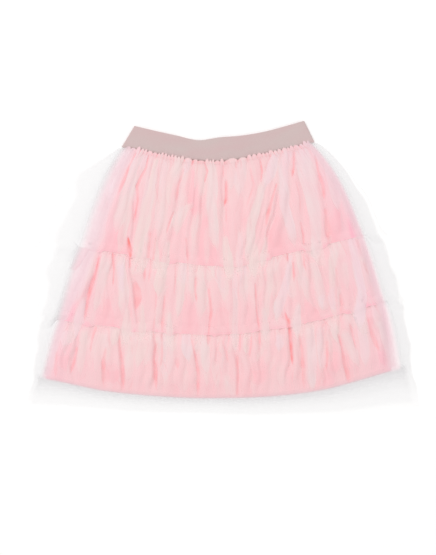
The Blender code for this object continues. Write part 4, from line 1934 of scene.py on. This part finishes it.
    def _past_hem(self, grid: SheerGrid, cover: np.ndarray,
                  thin: np.ndarray) -> tuple[np.ndarray, np.ndarray, np.ndarray]:
        """Let the sheer ply run out past the hem.

        Args:
            grid: the ply's points.
            cover: its cover so far.
            thin: its cover past the sides.

        Returns:
            The cover, how strong the painted grey shadow on the ply is, and how much it takes the
            pink one's colour.
        """
        hem = HEM_THINNING
        past_hem = (grid.down - grid.ended) * self.plan.length
        room = (grid.end[None, :] - grid.ended) * self.plan.length
        rim = np.clip(past_hem / room, 0.0, 1.0)
        inside = 1.0 - ease(np.abs(grid.extras) * 1.6)
        near = ease(1.0 + past_hem / hem.over)
        cover = cover + (hem.cover - cover) * near * inside
        veil = hem.far * ease((1.0 - rim) / hem.rim) + hem.near * (1.0 - rim) ** hem.power
        veil = veil * inside + thin * (1.0 - rim) * (1.0 - inside)
        cover = np.where(past_hem > 0.0, veil, cover)
        grey = ease((past_hem + hem.grey_in) / hem.grey_over) * (past_hem > -hem.grey_in)
        return cover, grey, hem.blush * near

    def build_sheer(self, material: bpy.types.Material) -> bpy.types.Object:
        """Make the sheer ply as a tube that lies on the pink one.

        Args:
            material: what it is made of.

        Returns:
            The ply.
        """
        plan = self.plan
        steps = np.linspace(0.0, 1.0, plan.rows + 8)[:, None]
        grid = self._sheer_grid(steps)
        fold, crease, patch = self._layers(grid.x, grid.y)
        z = self._sheer_height(grid, fold, crease)
        x = grid.x + grid.extras * grid.reach
        kept = slice(self.side_columns, -self.side_columns)
        self.cover_z = z[:, kept]
        self.cover_rows = (grid.over[kept], grid.end[kept])
        looks = self._sheer_looks(grid, fold, crease, patch)
        back_x = np.linspace(1.0, 0.0, self.back_columns)
        bx = x[:, :1] + (x[:, -1:] - x[:, :1]) * back_x
        back_side = np.broadcast_to(back_x * 2.0 - 1.0, bx.shape)
        back_down = np.broadcast_to(steps, bx.shape)
        if self.hem:
            back_hang = self._hang(plan.lower.x_at(back_side)) / plan.length
            back_down = steps * (1.0 + back_hang)
        by = in_plan(plan.upper, plan.lower, back_side, back_down, plan.bulges)[1]
        behind = np.stack([bx, by, np.full_like(bx, self.veil_back_z)], axis=-1)
        points = np.concatenate([np.stack([x, grid.y, z], axis=-1), behind], axis=1)
        width = plan.lower.half()
        flat_x = (grid.sides * width + grid.extras * grid.reach) * MM
        flat_back = (3.0 - back_side) * width * MM
        chart = np.concatenate(
            [
                np.stack([flat_x, grid.down * plan.length * MM], axis=-1),
                np.stack([flat_back, back_down * plan.length * MM], axis=-1),
            ],
            axis=1,
        )
        plain = np.zeros_like(bx)
        # The ply's back gets the full painted grey shadow, at a faint cover
        behind_looks = {"cover": 0.04, "veil": 1.0}
        values = {
            key: np.concatenate([value, plain + behind_looks.get(key, 0.0)], axis=1)
            for key, value in looks.items()
        }
        return ClothMesh.build(f"{plan.node}_sheer_ply", points, chart, values, material)

    def _cover(self, side: np.ndarray, down: np.ndarray, fold: Layer, crease: Layer,
               patch: Layer) -> np.ndarray:
        """How much of what lies under it the sheer ply hides.

        Args:
            side: sides of the points.
            down: shares of the way down the tier.
            fold: folds at each point.
            crease: creases at each point.
            patch: bare patches at each point.

        Returns:
            The cover at each point.
        """
        upper, lower = self.plan.upper, self.plan.lower
        top = 0.34 + 0.12 * upper.shown(upper.x_at(side))
        low = 0.4 - (0.1 if self.hem else 0.17) * lower.shown(lower.x_at(side))
        middle = 0.4 - 0.06 * ease((down - 0.3) / 0.4)
        plain = top + (middle - top) * ease(down / 0.3)
        plain = plain + (low - plain) * ease((down - 0.7) / 0.25)
        cover = plain * (1.0 - 0.85 * np.minimum(patch.share, 1.0))
        cover = cover + (0.9 - cover) * np.clip(fold.share, 0.0, 1.0)
        # Creases thin the sheer ply, which lets the painted shade of the pink ply's creases show
        return np.clip(cover * (1.0 - 0.75 * np.clip(crease.share, 0.0, 1.0)), 0.0, 1.0)

    def dress(self, pieces: list[bpy.types.Object]) -> None:
        """Tie the plies to the solid that they stand for.

        Args:
            pieces: the plies.
        """
        for piece in pieces:
            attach(piece, BODY)
            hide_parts(self.plan.node)


@dataclass
class Waistband:
    """Flat woven elastic band, folded at both sides."""

    columns: int = 150
    rows: int = 22
    back_z: float = 1.0
    front_z: float = 3.3
    wall: float = 1.8
    turn_points: int = 7
    turn_angle: float = 75.0
    cut: tuple[float, float] = (0.575, 0.034)

    def build(self, material: bpy.types.Material) -> bpy.types.Object:
        """Make the band as a folded loop.

        Args:
            material: what it is made of.

        Returns:
            The band.
        """
        side = np.linspace(-1.0, 1.0, self.columns)
        turn = np.radians(np.linspace(self.turn_angle, -self.turn_angle, self.turn_points))
        points, chart, under = [], [], []
        radius = (self.front_z - self.back_z) / 2.0
        middle = (self.front_z + self.back_z) / 2.0
        for step in np.linspace(0.0, 1.0, self.rows):
            down = np.full_like(side, step)
            x, y = in_plan(BAND_TOP, BAND_LOW, side, down, (0.0, 0.0))
            wave = 0.25 * np.sin(7.0 * side + 2.0 * step) + 0.12 * np.sin(19.0 * side - 3.0 * step)
            pull = 0.3 * step**4 * np.sin(60.0 * side + 4.0 * np.sin(13.0 * side))
            inner = ease((1.0 - np.abs(side)) / 0.05)
            front = np.stack([x, y, self.front_z + (wave + pull) * inner], axis=-1)
            out, up = radius * np.cos(turn), radius * np.sin(turn)
            right = np.stack([x[-1] + out, np.full_like(out, y[-1]), middle + up], axis=-1)
            behind = np.stack([x[::-1], y[::-1], np.full_like(x, self.back_z)], axis=-1)
            left = np.stack([x[0] - out, np.full_like(out, y[0]), middle - up], axis=-1)
            ring = np.concatenate([front, right, behind, left])
            points.append(ring)
            # Painted shadow along the front's low edge, where the gathers tuck under the band
            shaded = np.zeros(len(ring))
            low_edge = ease((step - 0.88) / 0.09)
            shaded[: self.columns] = ease((1.0 - np.abs(side)) / 0.06) * low_edge
            under.append(shaded)
            lengths = np.linalg.norm(np.diff(ring, axis=0), axis=1)
            across = np.concatenate([[0.0], np.cumsum(lengths)])
            depth = np.full(len(ring), step * self.cut[1])
            chart.append(np.stack([across * MM, depth], axis=-1))
        piece = ClothMesh.build("waistband_elastic", np.array(points), np.array(chart),
                                {"under": np.array(under)}, material)
        ClothMesh.wall(piece, self.wall, 0.0)
        return piece

    @staticmethod
    def dress(piece: bpy.types.Object) -> None:
        """Tie the band to the solid that it stands for.

        Args:
            piece: the band.
        """
        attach(piece, BODY)
        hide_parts("waistband")


@dataclass
class Sewing:
    """Rows of machine stitches that hold the gathers, made with Geometry Nodes."""

    stitch: float = 2.2
    gap: float = 1.1
    thread: float = 0.14
    thread_sides: int = 6
    inset: float = 2.6

    def tree(self) -> bpy.types.NodeTree:
        """Build the node tree that lays stitches along a line.

        Returns:
            The tree, with named inputs for the stitch, its step and its thread.
        """
        tree = bpy.data.node_groups.new("stitch_row", "GeometryNodeTree")
        for way, kind, names in (
            ("INPUT", "NodeSocketGeometry", ("Geometry",)),
            ("INPUT", "NodeSocketFloat", ("Stitch", "Step", "Thread")),
            ("INPUT", "NodeSocketMaterial", ("Material",)),
            ("OUTPUT", "NodeSocketGeometry", ("Geometry",)),
        ):
            for name in names:
                tree.interface.new_socket(name, in_out=way, socket_type=kind)
        graph = Graph(tree)
        entry, leave = graph.node("NodeGroupInput"), graph.node("NodeGroupOutput")
        curve = graph.node("GeometryNodeMeshToCurve")
        even = graph.node("GeometryNodeResampleCurve", mode="LENGTH")
        bead = graph.node("GeometryNodeMeshCylinder")
        bead.inputs["Vertices"].default_value = self.thread_sides
        place = graph.node("GeometryNodeInstanceOnPoints")
        turn = graph.node("FunctionNodeAlignRotationToVector", axis="Z")
        tangent = graph.node("GeometryNodeInputTangent")
        real = graph.node("GeometryNodeRealizeInstances")
        paint = graph.node("GeometryNodeSetMaterial")
        for output, socket in (
            (entry.outputs["Geometry"], curve.inputs["Mesh"]),
            (curve.outputs["Curve"], even.inputs["Curve"]),
            (entry.outputs["Step"], even.inputs["Length"]),
            (entry.outputs["Thread"], bead.inputs["Radius"]),
            (entry.outputs["Stitch"], bead.inputs["Depth"]),
            (even.outputs["Curve"], place.inputs["Points"]),
            (bead.outputs["Mesh"], place.inputs["Instance"]),
            (tangent.outputs["Tangent"], turn.inputs["Vector"]),
            (turn.outputs["Rotation"], place.inputs["Rotation"]),
            (place.outputs["Instances"], real.inputs["Geometry"]),
            (real.outputs["Geometry"], paint.inputs["Geometry"]),
            (entry.outputs["Material"], paint.inputs["Material"]),
            (paint.outputs["Geometry"], leave.inputs["Geometry"]),
        ):
            graph.join(output, socket)
        return tree

    def build(self, name: str, line: np.ndarray, tree: bpy.types.NodeTree,
              material: bpy.types.Material) -> bpy.types.Object:
        """Sew along a line.

        Args:
            name: the row's name.
            line: points in millimetres on the plan.
            tree: the stitching tree.
            material: the thread.

        Returns:
            The row as a plain mesh.
        """
        placed = line * MM
        placed[:, 1] += PLAN_SHIFT * MM
        mesh = bpy.data.meshes.new(f"{name}_line")
        mesh.from_pydata(placed.tolist(), [(i, i + 1) for i in range(len(placed) - 1)], [])
        carrier = bpy.data.objects.new(f"{name}_line", mesh)
        bpy.context.scene.collection.objects.link(carrier)
        modifier = carrier.modifiers.new("Stitches", "NODES")
        modifier.node_group = tree
        values = {
            "Stitch": self.stitch * MM,
            "Step": (self.stitch + self.gap) * MM,
            "Thread": self.thread * MM,
            "Material": material,
        }
        for item in tree.interface.items_tree:
            if item.item_type == "SOCKET" and item.in_out == "INPUT" and item.name in values:
                modifier[item.identifier] = values[item.name]
        bpy.context.view_layer.update()
        sewn = carrier.evaluated_get(bpy.context.evaluated_depsgraph_get())
        made = bpy.data.meshes.new_from_object(sewn)
        bpy.data.objects.remove(carrier)
        piece = bpy.data.objects.new(name, made)
        bpy.context.scene.collection.objects.link(piece)
        return piece

    def along(self, tier: Tier) -> np.ndarray:
        """Line of stitches on a tier.

        Args:
            tier: the tier, both plies made.

        Returns:
            Points on its sheer ply, just below its gathered edge.
        """
        side = np.linspace(-0.985, 0.985, 700)
        down = np.full_like(side, self.inset / tier.plan.length)
        x, y = in_plan(tier.plan.upper, tier.plan.lower, side, down, tier.plan.bulges)
        z = tier.top_at(x, y) - self.thread
        return np.stack([x, y, z], axis=-1)

    @staticmethod
    def dress(piece: bpy.types.Object, slot: str) -> None:
        """Tie a row of stitches to the skirt."""
        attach(piece, BODY)


@dataclass
class Studio:
    """Plain white floor, soft light and the photograph's camera."""

    lens: float = 85.0
    sensor: float = 36.0
    floor_size: float = 14.0
    sky_colour: tuple[float, float, float] = (1.0, 0.99, 0.985)
    sky_strength: float = 0.76
    lamps: tuple[tuple[str, tuple[float, float, float], float, float], ...] = (
        ("key", (-1.3, 1.3, 2.4), 2.4, 34.0),
        ("fill", (1.6, -0.8, 2.4), 2.2, 9.0),
    )
    focus_z: float = 0.006

    def build(self, material: bpy.types.Material) -> None:
        """Lay the floor, light it and set the camera over it.

        Args:
            material: what the floor is made of.
        """
        half = self.floor_size / 2.0
        mesh = bpy.data.meshes.new("floor")
        mesh.from_pydata(
            [(-half, -half, 0.0), (half, -half, 0.0), (half, half, 0.0), (-half, half, 0.0)],
            [],
            [(0, 1, 2, 3)],
        )
        mesh.materials.append(material)
        floor = bpy.data.objects.new("floor", mesh)
        bpy.context.scene.collection.objects.link(floor)
        self._lights()
        self._camera()
        view = bpy.context.scene.view_settings
        view.view_transform = "Standard"
        view.look = "None"
        view.exposure = 0.0

    def _lights(self) -> None:
        """Add a pale sky, and wide soft lamps that face the origin."""
        world = bpy.data.worlds.new("studio")
        world.use_nodes = True
        sky = world.node_tree.nodes["Background"]
        sky.inputs["Color"].default_value = (*self.sky_colour, 1.0)
        sky.inputs["Strength"].default_value = self.sky_strength
        bpy.context.scene.world = world
        for name, place, size, power in self.lamps:
            data = bpy.data.lights.new(name, "AREA")
            data.shape = "SQUARE"
            data.size = size
            data.energy = power
            lamp = bpy.data.objects.new(name, data)
            lamp.location = place
            lamp.rotation_euler = (-Vector(place)).to_track_quat("-Z", "Y").to_euler()
            bpy.context.scene.collection.objects.link(lamp)

    def _camera(self) -> None:
        """Set the camera straight above, framed as the photograph is."""
        width, height = PHOTO_SIZE
        x = (width / 2.0 - PLAN_PIXEL[0]) * MM_PER_PIXEL * MM
        y = (PLAN_PIXEL[1] - height / 2.0) * MM_PER_PIXEL * MM + PLAN_SHIFT * MM
        data = bpy.data.cameras.new("camera")
        data.lens = self.lens
        data.sensor_width = self.sensor
        distance = height * MM_PER_PIXEL * MM * self.lens / self.sensor
        camera = bpy.data.objects.new("camera", data)
        camera.location = (x, y, distance + self.focus_z)
        bpy.context.scene.collection.objects.link(camera)
        bpy.context.scene.camera = camera


def main() -> None:
    """Build the skirt's looks in order, and report each piece."""
    logging.basicConfig(level=logging.INFO, format="%(name)s: %(message)s")
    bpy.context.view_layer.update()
    finishes = Finishes()
    band = Waistband()
    elastic = band.build(finishes.elastic(ElasticFinish()))
    band.dress(elastic)
    LOG.info("%s made", elastic.name)
    pink = finishes.tulle(TulleFinish("pink_tulle"))
    pale = finishes.sheer(SheerFinish("sheer_tulle"))
    thread = finishes.thread(ThreadFinish("pink_thread", (0.89, 0.64, 0.66)))
    sewing = Sewing()
    stitching = sewing.tree()
    below = None
    for plan in (BOTTOM_TIER, MIDDLE_TIER, TOP_TIER):
        tier = Tier(plan, below)
        plies = [tier.build_pink(pink), tier.build_sheer(pale)]
        plies[1].visible_shadow = False
        plies[1].visible_diffuse = False
        tier.dress(plies)
        for ply in plies:
            LOG.info("%s made with %d points", ply.name, len(ply.data.vertices))
        row = sewing.build(f"{plan.node}_stitches", sewing.along(tier), stitching, thread)
        sewing.dress(row, plan.node)
        LOG.info("%s made", row.name)
        below = tier
    Studio().build(finishes.floor(FloorFinish()))


if __name__ == "__main__":
    main()
